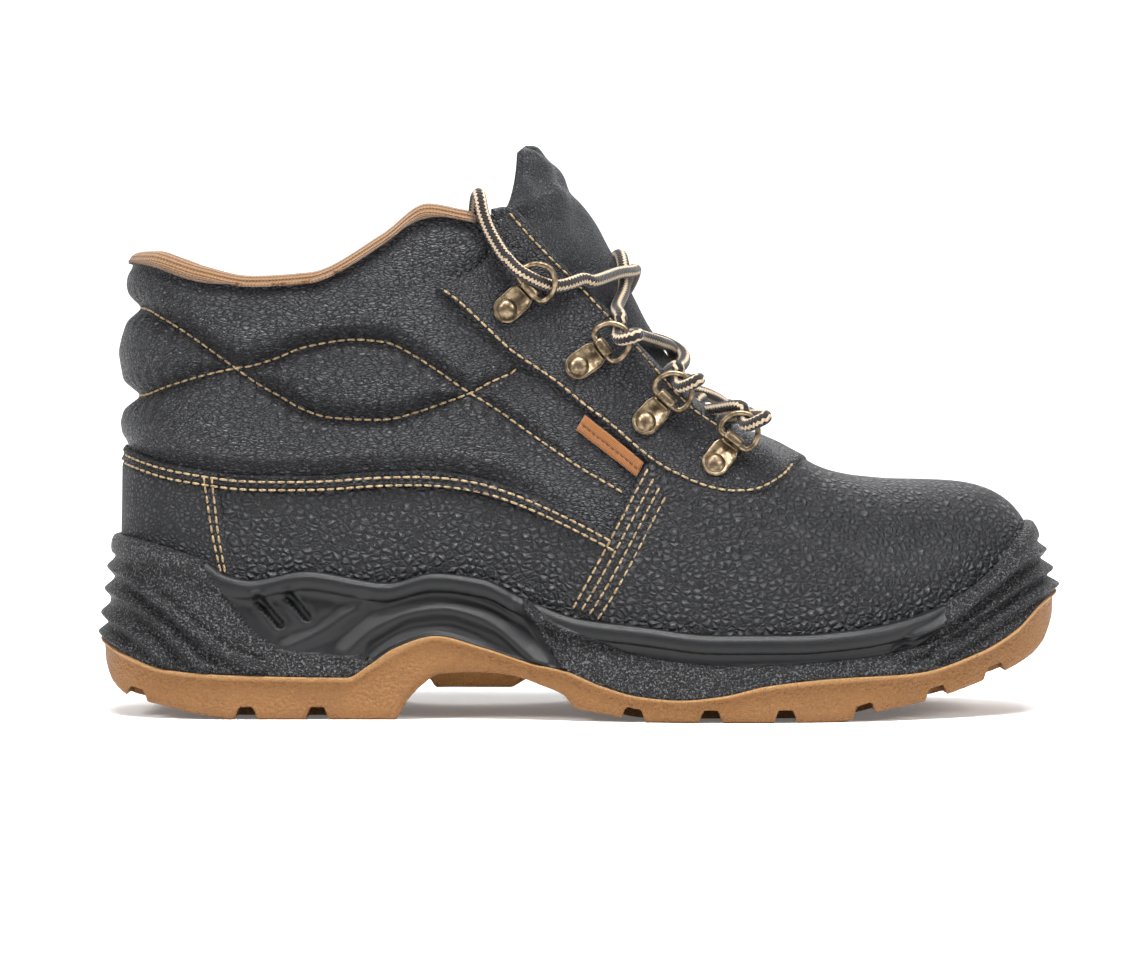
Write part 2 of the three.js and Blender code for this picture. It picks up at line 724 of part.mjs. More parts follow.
function plateSolid() {
  const half = plateWidth / 2;
  const flat = new THREE.Shape();
  flat.absarc(0, 0, half, Math.PI / 2, (3 * Math.PI) / 2, false);
  flat.lineTo(plateLength - 3, -half);
  flat.lineTo(plateLength, -foldWidth / 2);
  flat.lineTo(plateLength, foldWidth / 2);
  flat.lineTo(plateLength - 3, half);
  const settings = { depth: plateSheet, bevelEnabled: false, steps: 1, curveSegments: 6 };
  const sheet = solidFrom(bare(new THREE.ExtrudeGeometry(flat, settings)));
  const dome = [
    new THREE.Vector2(0, 0.2),
    new THREE.Vector2(rivetRadius, 0.2),
    new THREE.Vector2(rivetRadius, plateSheet + 0.3 * rivetHeight),
    new THREE.Vector2(0.65 * rivetRadius, plateSheet + 0.85 * rivetHeight),
    new THREE.Vector2(0, plateSheet + rivetHeight),
  ];
  const rivet = new THREE.LatheGeometry(dome, 10);
  rivet.rotateX(Math.PI / 2);
  const eye = new THREE.Shape();
  eye.absarc(0, 0, foldOutside, 0, 2 * Math.PI, false);
  const hole = new THREE.Path();
  hole.absarc(0, 0, foldInside, 0, 2 * Math.PI, true);
  eye.holes.push(hole);
  const loop = new THREE.ExtrudeGeometry(eye, { ...settings, depth: foldWidth, curveSegments: 5 });
  loop.rotateX(Math.PI / 2);
  loop.translate(plateLength, foldWidth / 2, foldLift);
  return geometryOf(sheet.add(solidFrom(bare(rivet))).add(solidFrom(bare(loop))));
}

// D-shaped ring of round wire, drawn about the middle of its straight side.
function ringGeometry() {
  const half = ringWidth / 2;
  const path = new THREE.CatmullRomCurve3(
    [
      [0, -0.72 * half],
      [0, 0],
      [0, 0.72 * half],
      [0.2 * ringReach, half],
      [0.62 * ringReach, 0.86 * half],
      [0.94 * ringReach, 0.42 * half],
      [ringReach, 0],
      [0.94 * ringReach, -0.42 * half],
      [0.62 * ringReach, -0.86 * half],
      [0.2 * ringReach, -half],
    ].map(([x, y]) => new THREE.Vector3(x, y, 0)),
    true,
  );
  return bare(new THREE.TubeGeometry(path, 16, wireDiameter / 2, 6, true));
}

function plateFrame(row, side) {
  return frameOnUpper(
    lengthwise(row.along),
    row.rise * shaftHeight,
    lengthwise(row.foldAlong),
    row.foldRise * shaftHeight,
    side,
  ).multiply(new THREE.Matrix4().makeTranslation(0, 0, plateStandoff));
}

function ringFrame(row, side) {
  const tilt = (-ringTilt * Math.PI) / 180;
  return plateFrame(row, side)
    .multiply(new THREE.Matrix4().makeTranslation(plateLength, 0, foldLift))
    .multiply(new THREE.Matrix4().makeRotationY(tilt));
}

// Lace: strands from ring to ring over the tongue, and one free end.
const ringGap = wireDiameter / 2 + laceDiameter / 2 + gap;

function ringMouth(level, side) {
  const place = new THREE.Vector3(ringReach + ringGap, 0, 0);
  return place.applyMatrix4(ringFrame(plateTable[level], side));
}

function tube(path, steps) {
  const section = new THREE.Shape();
  section.absarc(0, 0, laceDiameter / 2, 0, 2 * Math.PI, false);
  const settings = { steps, extrudePath: path, curveSegments: 4, bevelEnabled: false };
  return bare(new THREE.ExtrudeGeometry(section, settings));
}

function nearestCrown(point) {
  let best = { number: 0, distance: Infinity };
  for (let number = 0; number <= tongueTable.length - 1; number += 0.05) {
    const { crown } = tongueFrame(number);
    const distance = Math.hypot(crown.x - point.x, crown.z - point.z);
    if (distance < best.distance) best = { number, distance };
  }
  return tongueFrame(best.number);
}

function strand(from, to, extraLift) {
  const middle = from.clone().add(to).multiplyScalar(0.5);
  const { crown, front } = nearestCrown(middle);
  const over = crown.clone().addScaledVector(front, laceDiameter / 2 + laceLift + extraLift);
  const control = over.multiplyScalar(2).sub(middle);
  return new THREE.QuadraticBezierCurve3(from, control, to);
}

function laceCrossings() {
  const last = plateTable.length - 1;
  const bar = strand(ringMouth(last, OUTER), ringMouth(last, INNER), 0);
  let solid = solidFrom(tube(bar, strandSteps));
  for (let level = 0; level < last; level += 1) {
    const falling = strand(ringMouth(level, OUTER), ringMouth(level + 1, INNER), crossLift);
    const rising = strand(ringMouth(level, INNER), ringMouth(level + 1, OUTER), 0);
    solid = solid.add(solidFrom(tube(falling, strandSteps))).add(solidFrom(tube(rising, strandSteps)));
  }
  return geometryOf(solid);
}

function laceEnd() {
  const path = new THREE.CatmullRomCurve3(laceEndPoints.map((point) => new THREE.Vector3(...point)));
  return tube(path, endSteps);
}

// Label: a small stitched tab on the outer quarter.
const labelPlace = { along: 0.513, rise: 0.576, endAlong: 0.565, endRise: 0.499 };

function labelTab() {
  const tab = new THREE.BoxGeometry(labelLength, labelWidth, labelSheet, 6, 1, 1);
  tab.translate(0, 0, labelSheet / 2);
  return bare(tab);
}

function labelFrame() {
  return frameOnUpper(
    lengthwise(labelPlace.along + 0.5 * (labelPlace.endAlong - labelPlace.along)),
    0.5 * (labelPlace.rise + labelPlace.endRise) * shaftHeight,
    lengthwise(labelPlace.endAlong),
    labelPlace.endRise * shaftHeight,
    OUTER,
  ).multiply(new THREE.Matrix4().makeTranslation(0, 0, labelStandoff));
}

// Materials of the pieces.
const finishes = {
  leather: new THREE.MeshStandardMaterial({ color: 0x24262b, roughness: 0.5 }),
  polyurethane: new THREE.MeshStandardMaterial({ color: 0x1d1e21, roughness: 0.6 }),
  rubber: new THREE.MeshStandardMaterial({ color: 0xb07a3e, roughness: 0.7 }),
  lining: new THREE.MeshStandardMaterial({ color: 0x9c7446, roughness: 0.9 }),
  brass: new THREE.MeshStandardMaterial({ color: 0x857850, roughness: 0.35, metalness: 1 }),
  lace: new THREE.MeshStandardMaterial({ color: 0x3a332b, roughness: 0.85 }),
  label: new THREE.MeshStandardMaterial({ color: 0xb5692c, roughness: 0.8 }),
};

function piece(name, geometry, finish, frame) {
  const mesh = new THREE.Mesh(outward(geometry), finishes[finish]);
  mesh.name = name;
  if (frame) frame.decompose(mesh.position, mesh.quaternion, mesh.scale);
  return mesh;
}

const group = new THREE.Group();
group.add(piece("outsole", outsole(), "rubber"));
group.add(piece("midsole", midsole(), "polyurethane"));
group.add(piece("insole", insole(), "lining"));
group.add(piece("upper", thickened(upperSurface()), "leather"));
group.add(piece("tongue", thickened(tongueSurface()), "leather"));
group.add(piece("label_tab", labelTab(), "label", labelFrame()));

const sides = { outer: OUTER, inner: INNER };
Object.entries(sides).forEach(([word, side]) => {
  plateTable.forEach((row, level) => {
    const label = `${word}_${level + 1}`;
    group.add(piece(`ring_plate_${label}`, plateSolid(), "brass", plateFrame(row, side)));
    group.add(piece(`lace_ring_${label}`, ringGeometry(), "brass", ringFrame(row, side)));
  });
});

group.add(piece("lace_crossings", laceCrossings(), "lace"));
group.add(piece("lace_end", laceEnd(), "lace"));

export default group;
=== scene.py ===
"""Right safety boot: sewn leather upper, padded collar, D-ring lacing and a two-colour moulded sole.

Sizes are in millimetres on the boot, and become metres when a mesh is made. The toe points along +X,
the outer side faces -Y, +Z is up, and the origin lies on the floor under the middle of the sole.
"""

from __future__ import annotations

import logging
import math
from dataclasses import dataclass
from enum import Enum
from typing import Callable, Sequence

import bmesh
import bpy
import numpy as np
from mathutils import Matrix, Vector, kdtree

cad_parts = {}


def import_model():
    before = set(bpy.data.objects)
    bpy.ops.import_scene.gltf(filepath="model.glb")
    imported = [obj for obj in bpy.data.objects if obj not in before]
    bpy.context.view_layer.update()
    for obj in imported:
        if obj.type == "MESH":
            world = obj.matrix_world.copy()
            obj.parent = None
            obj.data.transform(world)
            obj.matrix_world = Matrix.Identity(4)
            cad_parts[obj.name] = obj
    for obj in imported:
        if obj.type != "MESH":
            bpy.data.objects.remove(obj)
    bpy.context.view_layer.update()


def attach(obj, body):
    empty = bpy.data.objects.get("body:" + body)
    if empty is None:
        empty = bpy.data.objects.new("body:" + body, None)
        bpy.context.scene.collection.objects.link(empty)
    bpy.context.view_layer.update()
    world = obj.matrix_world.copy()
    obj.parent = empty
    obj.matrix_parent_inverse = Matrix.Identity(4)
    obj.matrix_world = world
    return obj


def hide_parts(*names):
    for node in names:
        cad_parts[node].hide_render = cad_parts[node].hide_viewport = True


LOG = logging.getLogger("boot")
MM = 0.001
OUTER = -1.0
INNER = 1.0
SIDES = {"outer": OUTER, "inner": INNER}
Array = np.ndarray
Colour = tuple[float, float, float]
Mesh = bpy.types.Mesh
Piece = bpy.types.Object
Place = Sequence[float]
Points = Sequence[Place]


def mix(low: Array, high: Array, share: Array) -> Array:
    """Value between low and high at a share."""
    return low + (high - low) * share


def ease(low: float, high: float, value: Array) -> Array:
    """Smooth step from 0 at low to 1 at high."""
    q = np.clip((np.asarray(value, float) - low) / (high - low), 0, 1)
    return q * q * (3 - 2 * q)


def bump(distance: Array, width: float) -> Array:
    """Soft ridge of height 1 that is width wide at each side of its middle."""
    return np.exp(-((np.asarray(distance) / width) ** 2))


def unit(vectors: Array) -> Array:
    """Vectors scaled to length 1."""
    return vectors / np.maximum(np.linalg.norm(vectors, axis=-1, keepdims=True), 1e-9)


class Table:
    """Smooth curve through the rows of a table, without overshoot."""

    def __init__(self, xs: Sequence[float], ys: Sequence[float]) -> None:
        """Works out the slope at every row.

        Args:
            xs: Rising places.
            ys: Values at them.
        """
        self.xs = np.array(xs, float)
        self.ys = np.array(ys, float)
        self.steps = np.diff(self.xs)
        secants = np.diff(self.ys) / self.steps
        before, after = secants[:-1], secants[1:]
        same = before * after > 0
        inner = np.zeros(len(before))
        inner[same] = 2 * before[same] * after[same] / (before[same] + after[same])
        self.slopes = np.concatenate([secants[:1], inner, secants[-1:]])

    def __call__(self, x: Array) -> Array:
        """Values at the places x."""
        x = np.asarray(x, float)
        i = np.clip(np.searchsorted(self.xs, x, side="left") - 1, 0, len(self.steps) - 1)
        q = np.clip((x - self.xs[i]) / self.steps[i], 0, 1)
        rest = 1 - q
        ends = self.ys[i] * (1 + 2 * q) * rest**2 + self.ys[i + 1] * (3 - 2 * q) * q**2
        return ends + (self.slopes[i] * q * rest**2 - self.slopes[i + 1] * rest * q**2) * self.steps[i]


def rounded(reach: float, power: float, distance: Array) -> Array:
    """Share of the full width that an outline has at a distance from its round end."""
    q = np.clip(1 - distance / reach, 0, 1)
    return (1 - q**power) ** (1 / power)


def lengths(rows: Array) -> Array:
    """Distance along a line of points, up to each of them."""
    return np.concatenate([[0], np.cumsum(np.linalg.norm(np.diff(rows, axis=0), axis=1))])


def read_off(at: Array, along: Array, rows: Array) -> Array:
    """Rows at the distances at, between rows that stand at the distances along."""
    return np.stack([np.interp(at, along, column) for column in rows.T], axis=-1)


def dense(line: Array, times: int = 4) -> Array:
    """Line with more points between its own."""
    return read_off(np.linspace(0, len(line) - 1, len(line) * times), np.arange(len(line)), line)


def smooth_line(points: Points, step: float) -> Array:
    """Evenly spaced points on a smooth curve through the given ones.

    Args:
        points: Places that the curve passes, of any number of coordinates.
        step: Distance between the new points.

    Returns:
        The new points, one a row.
    """
    rows = np.array(points, float)
    if len(rows) > 2:
        wide = np.vstack([2 * rows[0] - rows[1], rows, 2 * rows[-1] - rows[-2]])
        pieces = []
        q = np.linspace(0, 1, 24, endpoint=False)[:, None]
        for a, b, c, d in zip(wide, wide[1:], wide[2:], wide[3:]):
            squared, cubed = 2 * a - 5 * b + 4 * c - d, 3 * b - a - 3 * c + d
            pieces.append(0.5 * (2 * b + (c - a) * q + squared * q**2 + cubed * q**3))
        rows = np.vstack([*pieces, rows[-1:]])
    along = lengths(rows)
    count = max(2, int(along[-1] / step) + 1)
    return read_off(np.linspace(0, along[-1], count), along, rows)


class Nearness:
    """Distance to a cloud of closely spaced points."""

    def __init__(self, points: Array) -> None:
        """Sorts the points into a tree."""
        flat = np.asarray(points, float).reshape(-1, 3)
        self.tree = kdtree.KDTree(len(flat))
        for i, point in enumerate(flat):
            self.tree.insert(point, i)
        self.tree.balance()

    def __call__(self, places: Array) -> Array:
        """Distance of each place to its nearest point."""
        flat = np.asarray(places, float).reshape(-1, 3)
        found = [self.tree.find(place)[2] for place in flat]
        return np.array(found).reshape(places.shape[:-1])


@dataclass
class BootForm:
    """True shape of the last, the sole's outline and the upper's outer face."""

    length: float = 305.0
    ball_width: float = 108.0
    heel_height: float = 26.0
    ledge: float = 7.0
    gap: float = 0.3
    vamp_wall: float = 2.4
    collar_wall: float = 7.0
    throat_rib: int = 14
    look_grid: tuple[int, int] = (420, 110)
    plan: Points = (
        (0.0, 0.36, -0.012), (0.15, 0.365, -0.012), (0.3, 0.352, -0.024), (0.4, 0.362, -0.03),
        (0.52, 0.43, -0.024), (0.62, 0.486, -0.012), (0.69, 0.5, 0.0), (0.78, 0.48, 0.018),
        (0.88, 0.43, 0.043), (1.0, 0.38, 0.058),
    )
    bed: Points = (
        (0.0, 1.0), (0.2, 1.0), (0.35, 1.14), (0.5, 0.92), (0.62, 0.68), (0.75, 0.68), (0.9, 0.93),
        (1.0, 1.3),
    )
    ribs: Points = (
        (0.0, 0.0325, 146.24, 0.325, 0, 2, 0.0), (0.03, 0.06, 145.92, 0.33, 0, 2, 0.005),
        (0.075, 0.113, 140.8, 0.335, 0, 2, 0.012), (0.14, 0.166, 137.6, 0.34, 0, 2, 0.02),
        (0.21, 0.225, 138.72, 0.35, 0, 2, 0.028), (0.29, 0.297, 150.4, 0.35, 0.05, 2, 0.036),
        (0.35, 0.344, 160.0, 0.345, 0.12, 2, 0.04), (0.41, 0.39, 157.6, 0.325, 0.22, 2, 0.036),
        (0.46, 0.425, 159.2, 0.29, 0.36, 2, 0.03), (0.51, 0.468, 144.8, 0.265, 0.5, 2.05, 0.024),
        (0.57, 0.5144, 129.76, 0.235, 0.65, 2.1, 0.018), (0.63, 0.5715, 110.24, 0.2, 0.8, 2.15, 0.014),
        (0.69, 0.621, 96.135, 0.158, 0.92, 2.2, 0.012), (0.735, 0.657, 88.914, 0.1, 1, 2.25, 0.01),
        (0.77, 0.678, 86.391, 0.0, 1, 2.3, 0.01), (0.83, 0.716, 78.6625, 0.0, 1, 2.45, 0.01),
        (0.89, 0.762, 74.095, 0.0, 1, 2.65, 0.008), (0.95, 0.808, 72.645, 0.0, 1, 2.9, 0.006),
        (1.0, 0.85, 72.5, 0.0, 1, 3.1, 0.0),
    )

    def __post_init__(self) -> None:
        """Makes the curves, and the girth line that measures places around the boot."""
        at, half, centre = zip(*self.plan)
        self.half_at, self.centre_at, self.bed_at = Table(at, half), Table(at, centre), Table(*zip(*self.bed))
        self.rib = [Table(range(len(self.ribs)), column) for column in zip(*self.ribs)]
        ends = np.linspace(0, 1, 700) ** 3
        last = len(self.ribs) - 1
        self.numbers = np.concatenate([ends, np.linspace(1, last - 1, 1400)[1:-1], last - ends[::-1]])
        self.arc = lengths(self.upper(self.numbers, np.full(self.numbers.shape, 0.5), OUTER))
        self.girth = float(self.arc[-1])
        columns, rows = self.look_grid
        grid = np.meshgrid(np.linspace(0, self.girth, columns), np.linspace(0, 1, rows), indexing="ij")
        self.look_up = np.stack([axis.ravel() for axis in grid], axis=-1)
        self.look_at = self.surface(*self.look_up.T, OUTER)[:, [0, 2]]

    def outline(self, share: Array, side: Array, inset: Array) -> tuple[Array, Array]:
        """Sole's outline from above, drawn in by inset, as x and y."""
        x = (share - 0.5) * (self.length - 2 * inset)
        ends = rounded(0.14, 2.3, share) * rounded(0.24, 2.25, 1 - share)
        half = (self.half_at(share) * self.ball_width - inset) * ends
        return x, self.centre_at(share) * self.ball_width + side * half

    def loop(self, share: Array, side: float, inset: Array, z: Array) -> Array:
        """Points on the sole's outline, drawn in by inset, at the heights z."""
        return np.stack([*self.outline(share, side, inset), z], axis=-1)

    def upper(self, number: Array, rise: Array, side: Array) -> Array:
        """Points of the upper's outer face, from a rib's number, a share up the rib and a side."""
        foot, along, top, spread, arch, power, fullness = (table(number) for table in self.rib)
        angle = rise * np.pi / 2
        up = mix(rise, np.sin(angle) ** (2 / power), arch)
        over = mix(rise, 1 - np.maximum(0, np.cos(angle)) ** (2 / power), arch)
        swell = fullness * self.ball_width * 6.75 * up * (1 - up) ** 2
        base_x, base_y = self.outline(foot, side, self.ledge - swell)
        base_z = self.bed_at(foot) * self.heel_height + self.gap
        opening = rounded(0.12, 2.2, along - self.ribs[0][1]) * spread * self.ball_width
        opening = np.where(number >= self.throat_rib, 0, opening)
        top_y = self.centre_at(along) * self.ball_width + side * opening
        x = mix(base_x, (along - 0.5) * self.length, over)
        return np.stack([x, mix(base_y, top_y, over), mix(base_z, top, up)], axis=-1)

    def number_at(self, girth: Array) -> Array:
        """Rib number at a distance around the boot."""
        return np.interp(girth, self.arc, self.numbers)

    def girth_at(self, number: Array) -> Array:
        """Distance around the boot of a rib."""
        return np.interp(number, self.numbers, self.arc)

    def surface(self, girth: Array, rise: Array, side: Array) -> Array:
        """Points of the outer face, from the distance around the boot, the share up and the side."""
        return self.upper(self.number_at(girth), rise, side)

    def normal(self, girth: Array, rise: Array, side: Array) -> Array:
        """Directions out of the leather."""
        wide, high = 0.8, 0.008
        number = self.number_at(girth)
        crown = ease(0.97, 1.0, rise) * (number > self.throat_rib - 0.01)
        middle = (1 - crown) * ease(0, 0.5, girth) * ease(0, 0.5, self.girth - girth)
        rise = np.minimum(rise, 1 - 0.06 * ease(15.5, 17.5, number))
        ahead = self.surface(np.minimum(girth + wide, self.girth), rise, side)
        ahead = ahead - self.surface(np.maximum(girth - wide, 0), rise, side)
        above = self.surface(girth, np.minimum(rise + high, 1), side)
        above = above - self.surface(girth, np.maximum(rise - high, 0), side)
        out = unit(np.cross(ahead, above) * -np.asarray(side)[..., None])
        out[..., 1] *= middle
        return unit(out)

    def wall(self, number: Array, rise: Array) -> Array:
        """Thickness of the upper, padded at the ankle."""
        padded = (1 - ease(6, 7.6, number)) * ease(0.3, 0.6, rise)
        return mix(self.vamp_wall, self.collar_wall, padded)

    def locate(self, places: Points) -> Array:
        """Girth and rise of places given as x and z in the side view.

        Args:
            places: Pairs of x and z.

        Returns:
            Pairs of girth and rise.
        """
        found = []
        for x, z in np.array(places, float):
            near = int(np.hypot(self.look_at[:, 0] - x, self.look_at[:, 1] - z).argmin())
            found.append(self.refine(*self.look_up[near], x, z))
        return np.array(found)

    def refine(self, girth: float, rise: float, x: float, z: float) -> tuple[float, float]:
        """Nearer girth and rise of one place, by a finer look round a first guess."""
        reach = np.array([self.girth, 1]) / (np.array(self.look_grid) - 1)
        for _ in range(6):
            across, up = np.meshgrid(np.linspace(-1, 1, 7), np.linspace(-1, 1, 7), indexing="ij")
            girths = np.clip(girth + across.ravel() * reach[0], 0, self.girth)
            rises = np.clip(rise + up.ravel() * reach[1], 0, 1)
            seen = self.surface(girths, rises, OUTER)
            best = int(np.hypot(seen[:, 0] - x, seen[:, 2] - z).argmin())
            girth, rise = float(girths[best]), float(rises[best])
            reach = reach * 0.4
        return girth, rise

    def trace(self, places: Points) -> Array:
        """Girth and rise along a smooth curve through places of the side view."""
        return self.locate(smooth_line(places, 1.0))


FORM = BootForm()


def make_object(name: str, mesh: Mesh) -> Piece:
    """Links a mesh to the scene as a smooth-shaded object at the origin."""
    made = bpy.data.objects.new(name, mesh)
    bpy.context.scene.collection.objects.link(made)
    mesh.polygons.foreach_set("use_smooth", [True] * len(mesh.polygons))
    return made


def baked(name: str, shape: bmesh.types.BMesh) -> Mesh:
    """Mesh made from a shape, which is freed."""
    mesh = bpy.data.meshes.new(name)
    shape.to_mesh(mesh)
    shape.free()
    return mesh


def grid_mesh(
    name: str,
    points: Array,
    uv: Array | None = None,
    layers: dict[str, Array] | None = None,
    flip: bool = False,
) -> Mesh:
    """Grid of quads laid on the given points.

    Args:
        name: Mesh name.
        points: Places in millimetres, by column, row and axis.
        uv: Pattern coordinates in millimetres, by column and row.
        layers: Values kept on the points, by column and row.
        flip: Turns the faces round.

    Returns:
        The mesh, in metres.
    """
    columns, rows = points.shape[:2]
    shape = bmesh.new()
    bmesh.ops.create_grid(shape, x_segments=columns - 1, y_segments=rows - 1, size=1.0)
    if flip:
        bmesh.ops.reverse_faces(shape, faces=shape.faces)
    mesh = baked(name, shape)
    flat = np.empty(len(mesh.vertices) * 3)
    mesh.vertices.foreach_get("co", flat)
    flat = flat.reshape(-1, 3)
    i = np.rint((flat[:, 0] + 1) / 2 * (columns - 1)).astype(int)
    j = np.rint((flat[:, 1] + 1) / 2 * (rows - 1)).astype(int)
    mesh.vertices.foreach_set("co", (points[i, j] * MM).ravel())
    for layer, values in (layers or {}).items():
        kept = mesh.attributes.new(layer, "FLOAT", "POINT")
        kept.data.foreach_set("value", values[i, j].astype(float))
    if uv is not None:
        corners = np.empty(len(mesh.loops), dtype=int)
        mesh.loops.foreach_get("vertex_index", corners)
        made = mesh.uv_layers.new(name="pattern")
        made.data.foreach_set("uv", (uv[i, j][corners] * MM).ravel())
    mesh.update()
    return mesh


def joined(name: str, meshes: Sequence[Mesh], weld: float, closed: bool = False) -> Mesh:
    """Meshes made one, with points that meet merged.

    Args:
        name: Name of the new mesh.
        meshes: Meshes to join, which are removed.
        weld: Distance in millimetres within which points merge.
        closed: Also turns all faces outwards.

    Returns:
        The joined mesh.
    """
    shape = bmesh.new()
    for mesh in meshes:
        shape.from_mesh(mesh)
    bmesh.ops.remove_doubles(shape, verts=shape.verts, dist=weld * MM)
    bmesh.ops.dissolve_degenerate(shape, edges=shape.edges, dist=weld * MM * 0.5)
    if closed:
        bmesh.ops.recalc_face_normals(shape, faces=shape.faces)
    whole = baked(name, shape)
    for mesh in meshes:
        bpy.data.meshes.remove(mesh)
    return whole


def repeated(name: str, part: Mesh, frames: Array) -> Mesh:
    """One mesh of many copies of a small part.

    Args:
        name: Name of the new mesh.
        part: Mesh to repeat, drawn in millimetres.
        frames: Matrices of four rows and columns, in millimetres.

    Returns:
        The mesh, in metres.
    """
    places = np.array([vertex.co[:] for vertex in part.vertices])
    faces = [tuple(face.vertices) for face in part.polygons]
    copies = np.einsum("nij,mj->nmi", frames[:, :3, :3], places) + frames[:, None, :3, 3]
    count = len(places)
    every = [tuple(i + k * count for i in face) for k in range(len(frames)) for face in faces]
    mesh = bpy.data.meshes.new(name)
    mesh.from_pydata((copies.reshape(-1, 3) * MM).tolist(), [], every)
    mesh.update()
    return mesh


def swept(line: Array, radius: float, around: int) -> tuple[Array, Array]:
    """Points and pattern coordinates of a round tube along a line.

    Args:
        line: Places of the middle line, in millimetres.
        radius: Its radius.
        around: Number of points around.

    Returns:
        The points and the coordinates, by place and turn; the tube's ends are drawn to a point.
    """
    line = np.vstack([line[:1], line, line[-1:]])
    radii = np.concatenate([[0.0], np.full(len(line) - 2, radius), [0.0]])
    ahead = unit(np.gradient(line[1:-1], axis=0))
    ahead = np.vstack([ahead[:1], ahead, ahead[-1:]])
    across = np.cross(ahead[0], [0.13, 0.21, 0.97])
    turns = []
    for direction in ahead:
        across = across - direction * np.dot(across, direction)
        across = across / np.linalg.norm(across)
        turns.append((across, np.cross(direction, across)))
    angles = np.linspace(0, 2 * np.pi, around + 1)
    first, second = (np.array(arms)[:, None] for arms in zip(*turns))
    ring = first * np.cos(angles)[None, :, None] + second * np.sin(angles)[None, :, None]
    points = line[:, None] + ring * radii[:, None, None]
    uv = np.stack(np.meshgrid(lengths(line), angles / (2 * np.pi) * 1000, indexing="ij"), axis=-1)
    return points, uv


class Value:
    """Output of a shader node, with sums and products that add Math nodes."""

    def __init__(self, shader: "Shader", socket: bpy.types.NodeSocket) -> None:
        """Keeps the socket and the shader that it belongs to."""
        self.shader = shader
        self.socket = socket

    def math(self, operation: str, *others: object) -> "Value":
        """Result of one Math node on this value and others."""
        return self.shader.node("ShaderNodeMath", {"operation": operation}, [self, *others])

    def __add__(self, other: object) -> "Value":
        """Sum."""
        return self.math("ADD", other)

    def __mul__(self, other: object) -> "Value":
        """Product."""
        return self.math("MULTIPLY", other)

    def __sub__(self, other: object) -> "Value":
        """Difference."""
        return self.math("SUBTRACT", other)

    def __rsub__(self, other: object) -> "Value":
        """Difference from a number."""
        return self.shader.node("ShaderNodeMath", {"operation": "SUBTRACT"}, [other, self])

    __radd__ = __add__
    __rmul__ = __mul__

    def step(self, low: float, high: float) -> "Value":
        """Smooth step from 0 at low to 1 at high."""
        inputs = {"Value": self, "From Min": low, "From Max": high}
        return self.shader.node("ShaderNodeMapRange", {"interpolation_type": "SMOOTHSTEP"}, inputs)

    def wave(self) -> "Value":
        """Sine, drawn into 0 to 1."""
        return self.math("SINE") * 0.5 + 0.5

    def zigzag(self) -> "Value":
        """Distance from the middle between two whole numbers."""
        return self.math("FRACT").math("SUBTRACT", 0.5).math("ABSOLUTE")


